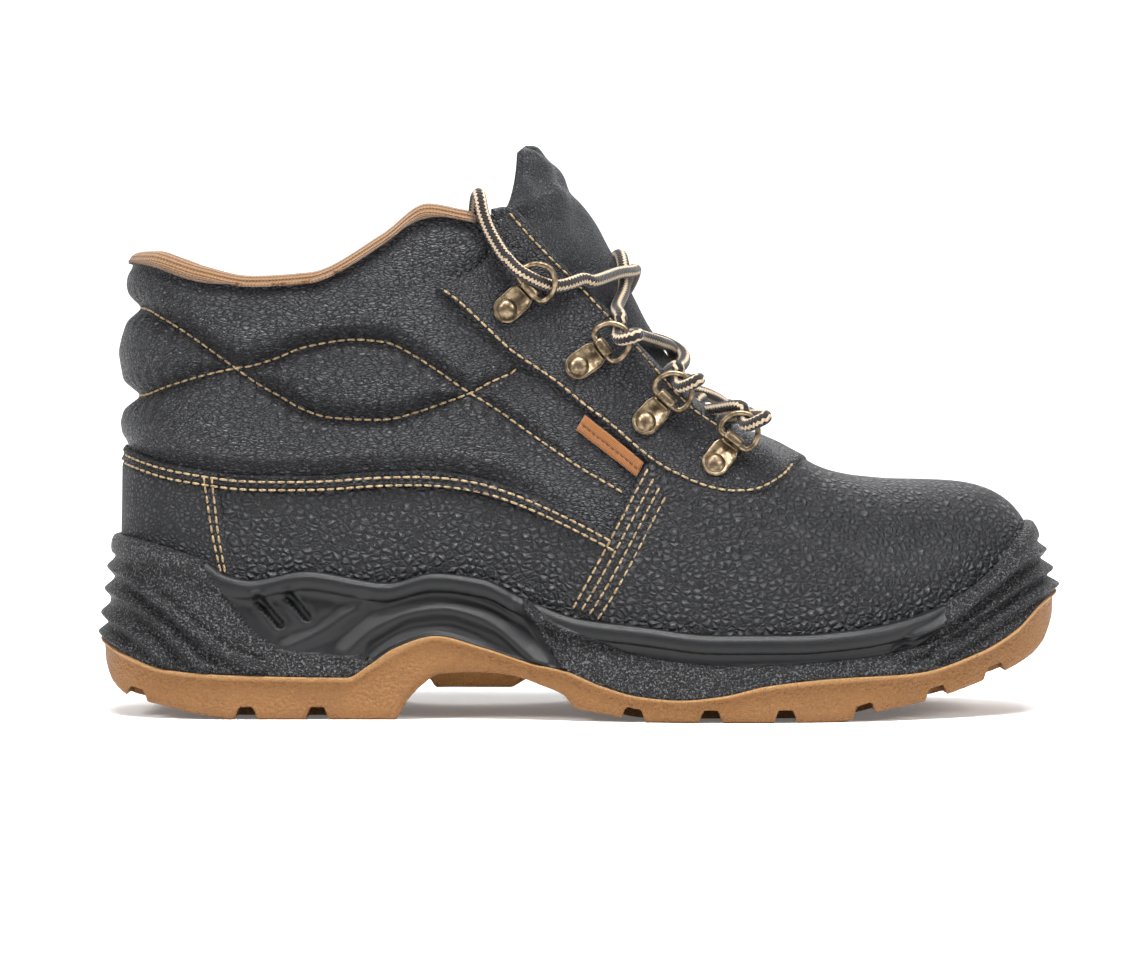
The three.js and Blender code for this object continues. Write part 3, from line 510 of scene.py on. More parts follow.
class Shader:
    """Node tree of one material."""

    def __init__(self, name: str) -> None:
        """Starts a material with its Principled shader."""
        self.material = bpy.data.materials.new(name)
        self.material.use_nodes = True
        self.tree = self.material.node_tree
        self.surface = self.tree.nodes["Principled BSDF"]

    def node(
        self, kind: str, settings: dict | None = None, inputs: object = None, output: int | str = 0
    ) -> Value:
        """Adds a node.

        Args:
            kind: Node type.
            settings: Properties set first.
            inputs: Values or links, by socket name or in order.
            output: Which output is wanted.

        Returns:
            That output.
        """
        made = self.tree.nodes.new(kind)
        for key, value in (settings or {}).items():
            setattr(made, key, value)
        pairs = inputs.items() if isinstance(inputs, dict) else enumerate(inputs or [])
        for key, value in pairs:
            self.put(made.inputs[key], value)
        return Value(self, made.outputs[output])

    def put(self, socket: bpy.types.NodeSocket, value: object) -> None:
        """Links or sets one socket."""
        if isinstance(value, Value):
            self.tree.links.new(value.socket, socket)
        elif isinstance(value, (tuple, list)) and len(socket.default_value) == 4:
            socket.default_value = (*value[:3], 1)
        else:
            socket.default_value = value

    def set(self, **sockets: object) -> None:
        """Sets or links sockets of the Principled shader, named with underscores for spaces."""
        for key, value in sockets.items():
            self.put(self.surface.inputs[key.replace("_", " ")], value)

    def places(self, scale: Sequence[float] = (1, 1, 1)) -> Value:
        """Object coordinates, stretched by scale."""
        source = self.node("ShaderNodeTexCoord", output="Object")
        return self.node("ShaderNodeMapping", inputs={"Vector": source, "Scale": scale})

    def uv(self) -> tuple[Value, Value]:
        """The piece's own pattern coordinates, in millimetres."""
        source = self.node("ShaderNodeUVMap", {"uv_map": "pattern"})
        split = self.node("ShaderNodeSeparateXYZ", inputs=[source])
        second = Value(self, split.socket.node.outputs[1])
        return split * 1000, second * 1000

    def noise(self, vector: Value, scale: float, detail: float = 3, rough: float = 0.5) -> Value:
        """Noise from 0 to 1."""
        inputs = {"Vector": vector, "Scale": scale, "Detail": detail, "Roughness": rough}
        return self.node("ShaderNodeTexNoise", inputs=inputs)

    def cells(self, vector: Value, scale: float, feature: str = "DISTANCE_TO_EDGE") -> Value:
        """Distances in a pattern of irregular cells."""
        inputs = {"Vector": vector, "Scale": scale, "Randomness": 1.0}
        return self.node("ShaderNodeTexVoronoi", {"feature": feature}, inputs, output="Distance")

    def attribute(self, name: str) -> Value:
        """Value kept on the mesh's points."""
        return self.node("ShaderNodeAttribute", {"attribute_name": name}, output="Fac")

    def colours(self, share: Value, first: Colour | Value, second: Colour | Value) -> Value:
        """Colour between two others at a share."""
        made = self.tree.nodes.new("ShaderNodeMix")
        made.data_type = "RGBA"
        ends = [socket for socket in made.inputs if socket.type == "RGBA"]
        for socket, value in zip((made.inputs["Factor"], *ends), (share, first, second)):
            self.put(socket, value)
        return Value(self, next(socket for socket in made.outputs if socket.type == "RGBA"))

    def bent(self, places: Value, scale: float, detail: float, reach: float) -> Value:
        """Places pushed aside by noise, by up to a reach in metres."""
        inputs = {"Vector": places, "Scale": scale, "Detail": detail}
        push = self.node("ShaderNodeTexNoise", inputs=inputs, output="Color")
        push = self.node("ShaderNodeVectorMath", {"operation": "SCALE"}, {"Vector": push, "Scale": reach})
        return self.node("ShaderNodeVectorMath", {"operation": "ADD"}, [places, push])

    def relief(self, height: Value, depth: float, strength: float = 1.0) -> None:
        """Bumps the surface by a height from 0 to 1, depth millimetres deep."""
        inputs = {"Height": height, "Distance": depth * MM, "Strength": strength}
        self.set(Normal=self.node("ShaderNodeBump", inputs=inputs))


@dataclass(frozen=True)
class Leather:
    """Black coated leather with a pebbled or fine grain."""

    name: str = "pebbled_leather"
    cell: float = 2.1
    depth: float = 1.35
    gloss: float = 0.3
    stretch: float = 1.12
    # Colours of the grooves, painted shade, and of the domes, painted highlight.
    dark: Colour = (0.0012, 0.0013, 0.002)
    light: Colour = (0.036, 0.037, 0.044)

    def make(self) -> bpy.types.Material:
        """Builds the material."""
        s = Shader(self.name)
        places = s.places((1 / self.stretch, 1, 1))
        warp = s.noise(places, 160, 2)
        bent = s.bent(places, 260.0, 1.0, 0.0011)
        big = s.cells(bent, 1000 / self.cell).step(0.0, 0.46)
        small = s.cells(bent, 2100 / self.cell).step(0.0, 0.2)
        fine = s.noise(places, 2400, 3)
        height = big * 0.85 + small * 0.12 + fine * 0.08 + warp * 0.12
        # Rubbed patches that roughen the leather and vary how bright the painted highlight on the domes is.
        wear_and_highlight = s.noise(s.places(), 26, 4, 0.6).step(0.42, 0.72)
        # The base colour is painted light on the pebbles' domes and dark in the grooves between them: painted
        # highlight and painted shade.
        s.set(
            Base_Color=s.colours(big * (0.75 + 0.25 * wear_and_highlight), self.dark, self.light),
            Roughness=self.gloss + 0.25 * (1 - big) + 0.1 * wear_and_highlight,
            Coat_Weight=0.03, Coat_Roughness=0.24, Specular_IOR_Level=0.34,
        )
        s.relief(height, self.depth)
        return s.material


@dataclass(frozen=True)
class CreasedLeather:
    """Soft black leather with fine broken creases, as over padding."""

    name: str = "creased_leather"
    depth: float = 1.8
    gloss: float = 0.32
    along: float = 2.2
    # Colours of the creases and grooves, painted shade, and of the small domes, painted highlight.
    dark: Colour = (0.0012, 0.0013, 0.002)
    light: Colour = (0.046, 0.047, 0.055)

    def make(self) -> bpy.types.Material:
        """Builds the material."""
        s = Shader(self.name)
        places = s.places()
        bent = s.bent(places, 120.0, 2.0, 0.004)
        long = s.node("ShaderNodeMapping", inputs={"Vector": bent, "Scale": (1 / self.along, 1, 1)})
        crease = s.cells(long, 620).step(0.0, 0.16)
        small = s.cells(long, 1050).step(0.0, 0.25)
        fine = s.noise(places, 2600, 3)
        broad = s.noise(long, 190, 3)
        height = crease * 0.35 + small * 0.3 + fine * 0.12 + broad * 0.6
        # Rubbed patches that roughen the leather and vary how bright the painted highlight on the domes is.
        wear_and_highlight = s.noise(places, 30, 4, 0.6).step(0.42, 0.72)
        # The base colour is painted light on the small domes and dark along the creases: painted highlight
        # and painted shade.
        s.set(
            Base_Color=s.colours(small * (0.3 + 0.35 * wear_and_highlight + 0.35 * crease), self.dark, self.light),
            Roughness=self.gloss + 0.25 * (1 - small) + 0.1 * wear_and_highlight,
            Coat_Weight=0.03, Coat_Roughness=0.26, Specular_IOR_Level=0.34,
        )
        s.relief(height, self.depth)
        return s.material


@dataclass(frozen=True)
class Foam:
    """Black foamed midsole, coarse where its grain value is 1 and satin where it is 0."""

    name: str = "black_foam"
    dark: Colour = (0.004, 0.0042, 0.005)
    light: Colour = (0.13, 0.13, 0.137)

    def make(self) -> bpy.types.Material:
        """Builds the material."""
        s = Shader(self.name)
        places = s.places()
        grain = s.attribute("grain")
        coarse = s.cells(places, 1350, "F1")
        rough = s.noise(places, 1500, 2, 0.7)
        fine = s.noise(places, 3200, 2)
        height = grain * (coarse * 0.8 + rough * 0.9) + (1 - grain) * (fine * 0.1)
        glint = grain * rough.step(0.5, 0.68)
        s.set(
            Base_Color=s.colours(glint, self.dark, self.light),
            Roughness=0.33 + 0.16 * grain - 0.2 * glint + 0.1 * s.noise(places, 45, 3),
            Coat_Weight=0.02, Coat_Roughness=0.28, Specular_IOR_Level=0.3,
        )
        s.relief(height, 1.5)
        return s.material


@dataclass(frozen=True)
class Rubber:
    """Caramel moulded tread with a fine pebble texture."""

    name: str = "caramel_tread"

    def make(self) -> bpy.types.Material:
        """Builds the material."""
        s = Shader(self.name)
        places = s.places()
        flash = s.attribute("flash")
        pebble = s.cells(places, 900, "F1")
        fine = s.noise(places, 2000, 2, 0.6)
        tone = s.noise(places, 60, 4, 0.6)
        mottled = s.colours(tone * 0.35 + fine * 0.5, (0.11, 0.042, 0.007), (0.34, 0.155, 0.042))
        s.set(
            Base_Color=s.colours(flash * 0.7, mottled, (0.42, 0.23, 0.09)),
            Roughness=0.5 + 0.16 * fine - 0.08 * flash,
            Specular_IOR_Level=0.4,
        )
        s.relief(pebble * 0.6 + fine * 0.5, 1.2)
        return s.material


@dataclass(frozen=True)
class Knit:
    """Knitted fabric with ribs that run along the piece."""

    name: str = "tan_knit"
    base: Colour = (0.27, 0.135, 0.05)
    shade: Colour = (0.09, 0.04, 0.013)
    rib: float = 1.5
    stitch: float = 1.1

    def make(self) -> bpy.types.Material:
        """Builds the material."""
        s = Shader(self.name)
        along, across = s.uv()
        ribs = (across * (2 * math.pi / self.rib)).wave()
        loops = (along * (2 * math.pi / self.stitch) + ribs * 2.5).wave()
        fuzz = s.noise(s.places(), 2600, 3, 0.7)
        height = ribs * 0.6 + loops * 0.3 + fuzz * 0.35
        s.set(
            Base_Color=s.colours(ribs * 0.5 + loops * 0.25 + fuzz * 0.35, self.shade, self.base),
            Roughness=0.82 + 0.14 * fuzz, Sheen_Weight=0.3, Sheen_Roughness=0.5, Specular_IOR_Level=0.2,
        )
        s.relief(height, 0.9)
        return s.material


@dataclass(frozen=True)
class Braid:
    """Round braided lace: dark, with paired beige zigzag stripes."""

    name: str = "braided_lace"
    dark: Colour = (0.008, 0.006, 0.005)
    beige: Colour = (0.5, 0.38, 0.26)

    def make(self) -> bpy.types.Material:
        """Builds the material."""
        s = Shader(self.name)
        along, around = s.uv()
        turn = around * 0.001
        strand = (turn * 4.0 + (along * 0.85).zigzag() * 0.42).zigzag()
        beige = 1 - strand.step(0.15, 0.21)
        plait = (along * 7.8 + turn * 37.7).wave()
        fuzz = s.noise(s.places(), 3000, 3, 0.7)
        # The beige stripes are painted darker in the hollows between the plaits: painted shade.
        s.set(
            Base_Color=s.colours(beige * (0.72 + 0.28 * plait), self.dark, self.beige),
            Roughness=0.7 + 0.2 * fuzz, Sheen_Weight=0.2, Specular_IOR_Level=0.25,
        )
        s.relief(beige * 0.5 + plait * 0.4 + fuzz * 0.2, 0.4)
        return s.material


@dataclass(frozen=True)
class Brass:
    """Antique brass, browned and rubbed bright in irregular patches."""

    name: str = "antique_brass"
    bright: Colour = (0.31, 0.235, 0.15)
    brown: Colour = (0.05, 0.034, 0.02)

    def make(self) -> bpy.types.Material:
        """Builds the material."""
        s = Shader(self.name)
        places = s.places()
        patches = s.noise(places, 420, 4, 0.65).step(0.34, 0.66)
        marks = s.noise(places, 1900, 3, 0.6)
        s.set(
            Base_Color=s.colours(patches * 0.8 + marks * 0.2, self.brown, self.bright),
            Metallic=1.0, Roughness=0.27 + 0.2 * (1 - patches) + 0.08 * marks,
        )
        s.relief(marks * 0.6 + patches * 0.4, 0.05)
        return s.material


@dataclass(frozen=True)
class Thread:
    """Twisted polyester sewing thread."""

    name: str = "beige_thread"
    base: Colour = (0.4, 0.29, 0.15)
    shade: Colour = (0.13, 0.08, 0.035)

    def make(self) -> bpy.types.Material:
        """Builds the material."""
        s = Shader(self.name)
        twist = s.noise(s.places(), 1500, 2, 0.6)
        s.set(
            Base_Color=s.colours(twist.step(0.3, 0.7), self.shade, self.base),
            Roughness=0.55 + 0.15 * twist, Sheen_Weight=0.15, Specular_IOR_Level=0.35,
        )
        s.relief(twist, 0.12)
        return s.material


@dataclass(frozen=True)
class Woven:
    """Woven fabric or board of one colour."""

    name: str = "label_weave"
    base: Colour = (0.26, 0.11, 0.034)
    shade: Colour = (0.17, 0.055, 0.012)
    pitch: float = 0.55

    def make(self) -> bpy.types.Material:
        """Builds the material."""
        s = Shader(self.name)
        along, across = s.uv()
        weave = (along * (2 * math.pi / self.pitch)).wave() * (across * (2 * math.pi / self.pitch)).wave()
        fuzz = s.noise(s.places(), 2200, 3, 0.7)
        s.set(
            Base_Color=s.colours(weave * 0.6 + fuzz * 0.5, self.shade, self.base),
            Roughness=0.75 + 0.15 * fuzz, Sheen_Weight=0.2, Specular_IOR_Level=0.25,
        )
        s.relief(weave * 0.6 + fuzz * 0.4, 0.22)
        return s.material


@dataclass(frozen=True)
class Paper:
    """Plain pale studio sweep that glows as painted light, faintly in front of the boot and brightly far
    behind it.
    """

    name: str = "pale_sweep"
    base: Colour = (0.9, 0.9, 0.9)
    # Strengths of the painted glow in front of the boot and far behind it.
    near: float = 0.1
    far: float = 0.8

    def make(self) -> bpy.types.Material:
        """Builds the material."""
        s = Shader(self.name)
        tone = s.noise(s.places(), 4, 2)
        # The emission is painted light: the sweep glows, faintly near the camera and brightly towards the
        # wall behind.
        back = s.node("ShaderNodeSeparateXYZ", inputs=[s.places()], output="Y")
        s.set(
            Base_Color=s.colours(tone, (0.89, 0.89, 0.89), self.base), Roughness=0.9, Specular_IOR_Level=0.0,
            Emission_Color=s.colours(back.step(-0.1, 0.7), (self.near,) * 3, (self.far,) * 3),
            Emission_Strength=1.0,
        )
        return s.material


class Finish(Enum):
    """The boot's finishes: the record's slot and the maker of each."""

    PEBBLED = ("leather", Leather())
    HEEL = ("leather", Leather(name="heel_leather", cell=1.5, depth=0.75, gloss=0.4))
    FINE = ("leather", CreasedLeather(name="stay_leather", depth=1.6, along=1.5))
    CREASED = ("leather", CreasedLeather())
    TONGUE = ("leather", CreasedLeather(name="tongue_leather", depth=1.7, gloss=0.4, along=0.6,
                                        dark=(0.014, 0.015, 0.018), light=(0.034, 0.036, 0.042)))
    THREAD = ("leather", Thread())
    FOAM = ("midsole", Foam())
    TREAD = ("outsole", Rubber())
    KNIT = ("lining", Knit())
    BED = ("lining", Woven(name="bed_fabric", base=(0.2, 0.13, 0.07), shade=(0.09, 0.055, 0.03), pitch=1.1))
    BRASS = ("hardware", Brass())
    LACE = ("lace", Braid())
    LABEL = ("label", Woven())
    DARK_THREAD = ("label", Thread(name="dark_thread", base=(0.06, 0.03, 0.015), shade=(0.03, 0.015, 0.008)))

    @property
    def slot(self) -> str:
        """Record's material slot."""
        return self.value[0]


class Wardrobe:
    """Makes each finish once and dresses pieces in it."""

    def __init__(self) -> None:
        """Starts with nothing made."""
        self.made: dict[Finish, bpy.types.Material] = {}

    def dress(self, piece: Piece, finish: Finish, *nodes: str) -> Piece:
        """Gives a piece its finish and body.

        Args:
            piece: The object to dress.
            finish: Its finish.
            nodes: Names of the solids that it stands for.

        Returns:
            The same object.
        """
        if finish not in self.made:
            self.made[finish] = finish.value[1].make()
        piece.data.materials.clear()
        piece.data.materials.append(self.made[finish])
        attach(piece, "root")
        if nodes:
            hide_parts(*nodes)
        LOG.info("%s: %d points", piece.name, len(getattr(piece.data, "vertices", ())))
        return piece


WARDROBE = Wardrobe()


@dataclass
class Studio:
    """Camera, pale sweep and soft lights."""

    eye: Place = (-0.0048, -1.22, 0.1)
    pitch: float = 1.27
    lens: float = 121.3
    reach: float = 6000.0
    wall: float = 4000.0
    bend: float = 1400.0

    def camera(self) -> None:
        """Sets the camera at the boot's outer side, a little above the ankle's height."""
        made = bpy.data.cameras.new("side_camera")
        made.lens = self.lens
        made.sensor_width = 36.0
        made.clip_start = 0.05
        made.clip_end = 50
        placed = bpy.data.objects.new("side_camera", made)
        placed.location = self.eye
        placed.rotation_euler = (math.radians(90 - self.pitch), 0, 0)
        bpy.context.scene.collection.objects.link(placed)
        bpy.context.scene.camera = placed

    def sweep(self) -> None:
        """Lays the pale floor, which curves up into a wall far behind."""
        foot, turn = self.wall - self.bend, np.linspace(0, np.pi / 2, 16)[1:]
        floor, rising = np.linspace(-self.wall, foot, 12), np.linspace(self.bend, self.reach, 7)[1:]
        along = np.concatenate([floor, foot + self.bend * np.sin(turn), np.full(6, self.wall)])
        up = np.concatenate([np.zeros(12), self.bend * (1 - np.cos(turn)), rising])
        x, row = np.meshgrid(np.linspace(-self.reach, self.reach, 9), np.arange(len(along)), indexing="ij")
        placed = make_object("sweep", grid_mesh("sweep", np.stack([x, along[row], up[row]], axis=-1)))
        placed.data.materials.append(Paper().make())

    @staticmethod
    def light(name: str, place: Place, aim: Place, size: tuple, power: float) -> None:
        """Hangs one soft box.

        Args:
            name: Name of the light.
            place: Where it hangs, in metres.
            aim: What it faces.
            size: Its width and height.
            power: Its power in watts.
        """
        made = bpy.data.lights.new(name, "AREA")
        made.shape = "RECTANGLE"
        made.size, made.size_y = size
        made.energy = power
        placed = bpy.data.objects.new(name, made)
        placed.location = place
        placed.rotation_euler = (Vector(aim) - Vector(place)).to_track_quat("-Z", "Y").to_euler()
        bpy.context.scene.collection.objects.link(placed)

    def build(self) -> None:
        """Sets up the whole studio."""
        self.camera()
        self.sweep()
        self.light("top_box", (0.05, -0.3, 1.0), (0.0, 0.0, 0.05), (0.8, 0.3), 23.0)
        self.light("front_left_box", (-0.9, -0.75, 0.85), (0.0, 0.0, 0.08), (0.3, 0.45), 11.0)
        self.light("front_right_box", (1.0, -0.7, 0.75), (0.02, 0.0, 0.07), (0.25, 0.45), 8.0)
        self.light("back_box", (0.1, 1.0, 0.9), (0.0, 0.0, 0.1), (1.2, 0.5), 6.0)
        bpy.context.scene.view_settings.view_transform = "Standard"
        world = bpy.data.worlds.new("white_room")
        bpy.context.scene.world = world
        world.use_nodes = True
        back = world.node_tree.nodes["Background"]
        back.inputs["Color"].default_value = (1, 1, 1, 1)
        back.inputs["Strength"].default_value = 0.15


@dataclass
class LaceEnd:
    """Free end of the lace, from the top ring over the collar and down inside."""

    diameter: float = 4.0
    route: Points = (
        (-22.6, -40.5, 142.6), (-24.2, -40.5, 144.6), (-26.0, -40.3, 147.4), (-28.4, -40.1, 151.8),
        (-30.3, -39.9, 156.8), (-31.2, -38.9, 161.2), (-31.8, -35.9, 163.0), (-32.6, -32.5, 161.6),
        (-33.2, -29.9, 156.8), (-33.8, -28.9, 151.4), (-34.4, -28.5, 146.4),
    )

    def build(self) -> Piece:
        line = smooth_line(self.route, 0.9)
        points, uv = swept(line, self.diameter / 2, 24)
        mesh = joined("lace_free_end", [grid_mesh("tube", points, uv)], 0.002, closed=True)
        piece = WARDROBE.dress(make_object("lace_free_end", mesh), Finish.LACE, "lace_end")
        return piece


@dataclass
class SeamLines:
    """Seams and edges of the upper, as x and z of the side view."""

    band_low: Points = (
        (-144.0, 143.4), (-132.3, 140.5), (-124.4, 137.5), (-116.9, 135.6), (-109.3, 135.1), (-98.4, 135.1),
        (-87.3, 135.3), (-80.1, 137.4), (-72.7, 140.0), (-65.2, 144.5), (-58.2, 149.6), (-51.5, 154.2),
        (-44.9, 155.8), (-39.9, 155.5), (-34.6, 154.3), (-31.3, 152.7),
    )
    quilt_low: Points = (
        (-146.0, 129.0), (-138.2, 127.8), (-132.5, 125.2), (-126.2, 121.8), (-118.4, 116.8), (-107.3, 109.1),
        (-100.7, 104.4), (-93.2, 100.2), (-87.3, 96.8), (-80.2, 94.2), (-72.8, 93.4), (-65.4, 93.1),
        (-58.2, 93.5), (-50.9, 95.5), (-43.6, 98.0), (-34.3, 101.4), (-28.0, 104.8), (-22.0, 107.4),
        (-19.9, 109.2),
    )
    quilt_high: Points = (
        (-146.0, 100.6), (-138.2, 101.0), (-132.4, 102.7), (-126.1, 104.6), (-117.1, 107.0), (-107.3, 109.1),
        (-102.1, 109.9), (-94.9, 112.1), (-87.4, 115.1), (-80.3, 116.7), (-72.8, 117.8), (-65.4, 117.7),
        (-58.2, 116.4), (-50.8, 112.4), (-45.0, 108.7), (-39.3, 104.7), (-34.3, 101.4), (-25.6, 96.0),
        (-16.5, 89.4), (-5.8, 82.0), (1.1, 77.5), (13.0, 70.6),
    )
    stay_rear: Points = (
        (-45.1, 133.6), (-39.1, 129.2), (-31.7, 122.3), (-24.1, 115.0), (-19.2, 111.4), (-8.9, 104.3),
        (0.5, 96.6), (8.6, 90.6), (15.7, 84.3), (23.1, 78.5), (30.2, 74.6), (36.8, 71.7), (43.6, 69.9),
        (49.3, 69.6), (54.5, 70.1), (59.2, 72.0), (63.0, 74.3), (66.5, 77.4),
    )
    stay_fold: Points = (
        (-45.1, 133.6), (-35.2, 138.8), (-30.6, 142.2), (-28.4, 145.7), (-28.2, 152.0), (-28.2, 158.6),
    )
    stay_front: Points = (
        (-22.7, 157.2), (-19.2, 153.0), (-14.9, 148.0), (-9.6, 142.2), (-4.0, 136.6), (0.4, 132.0),
        (4.4, 127.6), (9.1, 122.5), (16.0, 115.0), (24.0, 105.8), (32.0, 97.2), (40.0, 91.2), (47.0, 87.2),
    )
    low_edge: Points = (
        (-146.0, 85.2), (-143.4, 84.6), (-129.9, 80.3), (-118.1, 78.1), (-106.0, 76.5), (-91.8, 76.2),
        (-77.8, 76.5), (-63.7, 77.5), (-49.7, 77.8), (-40.6, 77.2), (-31.2, 75.6), (-22.0, 72.7),
        (-12.8, 69.0), (-2.6, 64.2), (7.3, 59.0), (13.0, 56.0),
    )
    heel_seam: Points = ((-116.8, 76.0), (-115.7, 68.1), (-114.1, 57.3), (-111.6, 45.6))
    heel_edge: Points = ((-112.4, 76.4), (-110.9, 65.0), (-109.1, 54.3), (-106.2, 41.0))
    vamp_edge: Points = ((-6.5, 30.5), (-3.7, 34.9), (2.1, 45.9), (7.5, 56.0), (13.6, 67.5), (19.4, 78.6))
    rim: Points = (
        (-146.0, 54.0), (-133.3, 51.0), (-122.4, 46.1), (-113.8, 39.7), (-106.1, 38.8), (-96.5, 40.5),
        (-87.2, 41.2), (-68.3, 37.8), (-54.3, 40.0), (-37.8, 40.2), (-23.9, 35.9), (-8.1, 29.2), (5.9, 26.4),
        (28.9, 22.9), (57.0, 21.4), (80.1, 23.0), (93.7, 25.8), (104.2, 28.0), (115.1, 33.0), (126.7, 42.0),
        (138.7, 52.0), (146.0, 54.0),
    )


SEAMS = SeamLines()


@dataclass
class Patch:
    """Leather patch of the upper between four border lines, made for both sides at once."""

    name: str
    finish: Finish
    bottom: Array
    top: Array
    left: Array
    right: Array
    columns: int
    rows: int
    lift: float = 0.2
    thick: float = 1.2
    edge: float = 1.5
    free: tuple[str, ...] = ()
    relief: Callable[[Array, Array, float], Array] | None = None
    cut: float = 1.4

    @staticmethod
    def spaced(border: Array, count: int) -> Array:
        """Border resampled to a number of evenly spaced girths and rises."""
        usual_height = 110
        steps = np.hypot(np.diff(border[:, 0]), np.diff(border[:, 1]) * usual_height)
        along = np.concatenate([[0], np.cumsum(steps)])
        return read_off(np.linspace(0, along[-1], count), along, border)

    def net(self) -> tuple[Array, Array]:
        """Girths and rises of the grid between the borders."""
        u = np.linspace(0, 1, self.columns)[:, None, None]
        v = np.linspace(0, 1, self.rows)[None, :, None]
        low, high = (self.spaced(border, self.columns)[:, None] for border in (self.bottom, self.top))
        near, far = (self.spaced(border, self.rows)[None] for border in (self.left, self.right))
        flat = (1 - v) * low + v * high + (1 - u) * near + u * far
        corners = (1 - u) * (1 - v) * low[:1] + u * (1 - v) * low[-1:]
        corners = corners + (1 - u) * v * high[:1] + u * v * high[-1:]
        both = flat - corners
        return np.clip(both[..., 0], 0, FORM.girth), np.clip(both[..., 1], 0, 1)

    def free_edge(self, girth: Array, rise: Array, side: float) -> Array:
        """Closely spaced points of the patch's open edges on the form."""
        borders = {"bottom": np.s_[:, 0], "top": np.s_[:, -1], "left": np.s_[0, :], "right": np.s_[-1, :]}
        kept = []
        for word in self.free:
            line = dense(np.stack([girth[borders[word]], rise[borders[word]]], axis=-1), 5)
            on_middle = (line[:, 1] > 0.999) & (FORM.number_at(line[:, 0]) > FORM.throat_rib - 0.1)
            kept.append(line[~(on_middle | (line[:, 0] < 0.01))])
        return FORM.surface(*np.vstack(kept).T, side)

    def half(self, side: float) -> Mesh:
        """Mesh of one side of the patch."""
        girth, rise = self.net()
        base, normal = FORM.surface(girth, rise, side), FORM.normal(girth, rise, side)
        height = np.full(girth.shape, self.thick)
        if self.free:
            near = Nearness(self.free_edge(girth, rise, side))(base)
            q = np.clip(1 - near / self.edge, 0, 1)
            height = self.thick * np.sqrt(1 - q**2)
        if self.relief:
            height = height + self.relief(base, girth, side)
        points = base + normal * (self.lift + height)[..., None]
        return grid_mesh(f"{self.name}_half", points, flip=side == INNER)

    def build(self) -> Piece:
        """Makes both sides, joined where they meet, with the leather's cut thickness behind."""
        mesh = joined(self.name, [self.half(OUTER), self.half(INNER)], 0.03)
        piece = make_object(self.name, mesh)
        wall = piece.modifiers.new("cut_thickness", "SOLIDIFY")
        wall.thickness = self.cut * MM
        wall.offset = -1
        wall.use_rim = True
        return WARDROBE.dress(piece, self.finish, "upper")


def wave_noise(base: Array, pitch: float, seed: int) -> Array:
    """Smooth irregular waves over places, about from -1 to 1, from seeded draws."""
    draws = np.random.default_rng(seed)
    total = np.zeros(base.shape[:-1])
    for _ in range(7):
        direction = unit(draws.normal(size=3))
        size = pitch * draws.uniform(0.7, 1.6)
        total += np.sin(base @ direction * (2 * np.pi / size) + draws.uniform(0, 2 * np.pi))
    return total / 4


@dataclass
class Stitching:
    """Rows of sewn stitches that lie in shallow troughs of the leather."""

    length: float = 2.5
    pitch: float = 3.0
    radius: float = 0.36

    def stitch(self) -> Mesh:
        """One stitch along +X, drawn in millimetres."""
        shape = bmesh.new()
        bmesh.ops.create_uvsphere(shape, u_segments=8, v_segments=6, radius=1.0)
        bmesh.ops.rotate(shape, verts=shape.verts, matrix=Matrix.Rotation(math.pi / 2, 3, "Y"))
        for vertex in shape.verts:
            x = vertex.co.x
            fat = math.sqrt(max(0.0, 1 - x**4))
            ring = math.hypot(vertex.co.y, vertex.co.z)
            scale = self.radius * fat / ring if ring > 1e-6 else 0
            vertex.co = (x * self.length / 2, vertex.co.y * scale, vertex.co.z * scale)
        return baked("stitch", shape)

    def frames(self, line: Array, side: float, lift: float) -> Array:
        """Frames of the stitches along a line.

        Args:
            line: Girths and rises along it.
            side: Which side of the boot.
            lift: Height of the leather under the thread, or one at each place.

        Returns:
            One matrix a stitch, in millimetres.
        """
        places, out = FORM.surface(*line.T, side), FORM.normal(*line.T, side)
        places = places + out * np.broadcast_to(lift, len(line))[:, None]
        along = lengths(places)
        count = max(1, int(along[-1] / self.pitch))
        at = (np.arange(count) + 0.5) * along[-1] / count
        up = unit(read_off(at, along, out))
        ahead = read_off(at + 0.6, along, places) - read_off(at - 0.6, along, places)
        ahead = unit(ahead - up * np.sum(ahead * up, axis=-1, keepdims=True))
        made = np.tile(np.eye(4), (count, 1, 1))
        made[:, :3] = np.stack([ahead, np.cross(up, ahead), up, read_off(at, along, places)], axis=-1)
        return made

    def build(self, name: str, lines: Sequence[tuple[Array, float]], finish: Finish = Finish.THREAD,
              sides: Sequence[float] = (OUTER, INNER)) -> Piece:
        """Sews several lines as one piece.

        Args:
            name: Name of the piece.
            lines: Pairs of a line's girths and rises, and the leather's height under it.
            finish: Finish of the thread.
            sides: The sides that are sewn.

        Returns:
            The piece.
        """
        frames = np.concatenate([self.frames(line, side, lift) for line, lift in lines for side in sides])
        part = self.stitch()
        piece = make_object(name, repeated(name, part, frames))
        bpy.data.meshes.remove(part)
        return WARDROBE.dress(piece, finish)


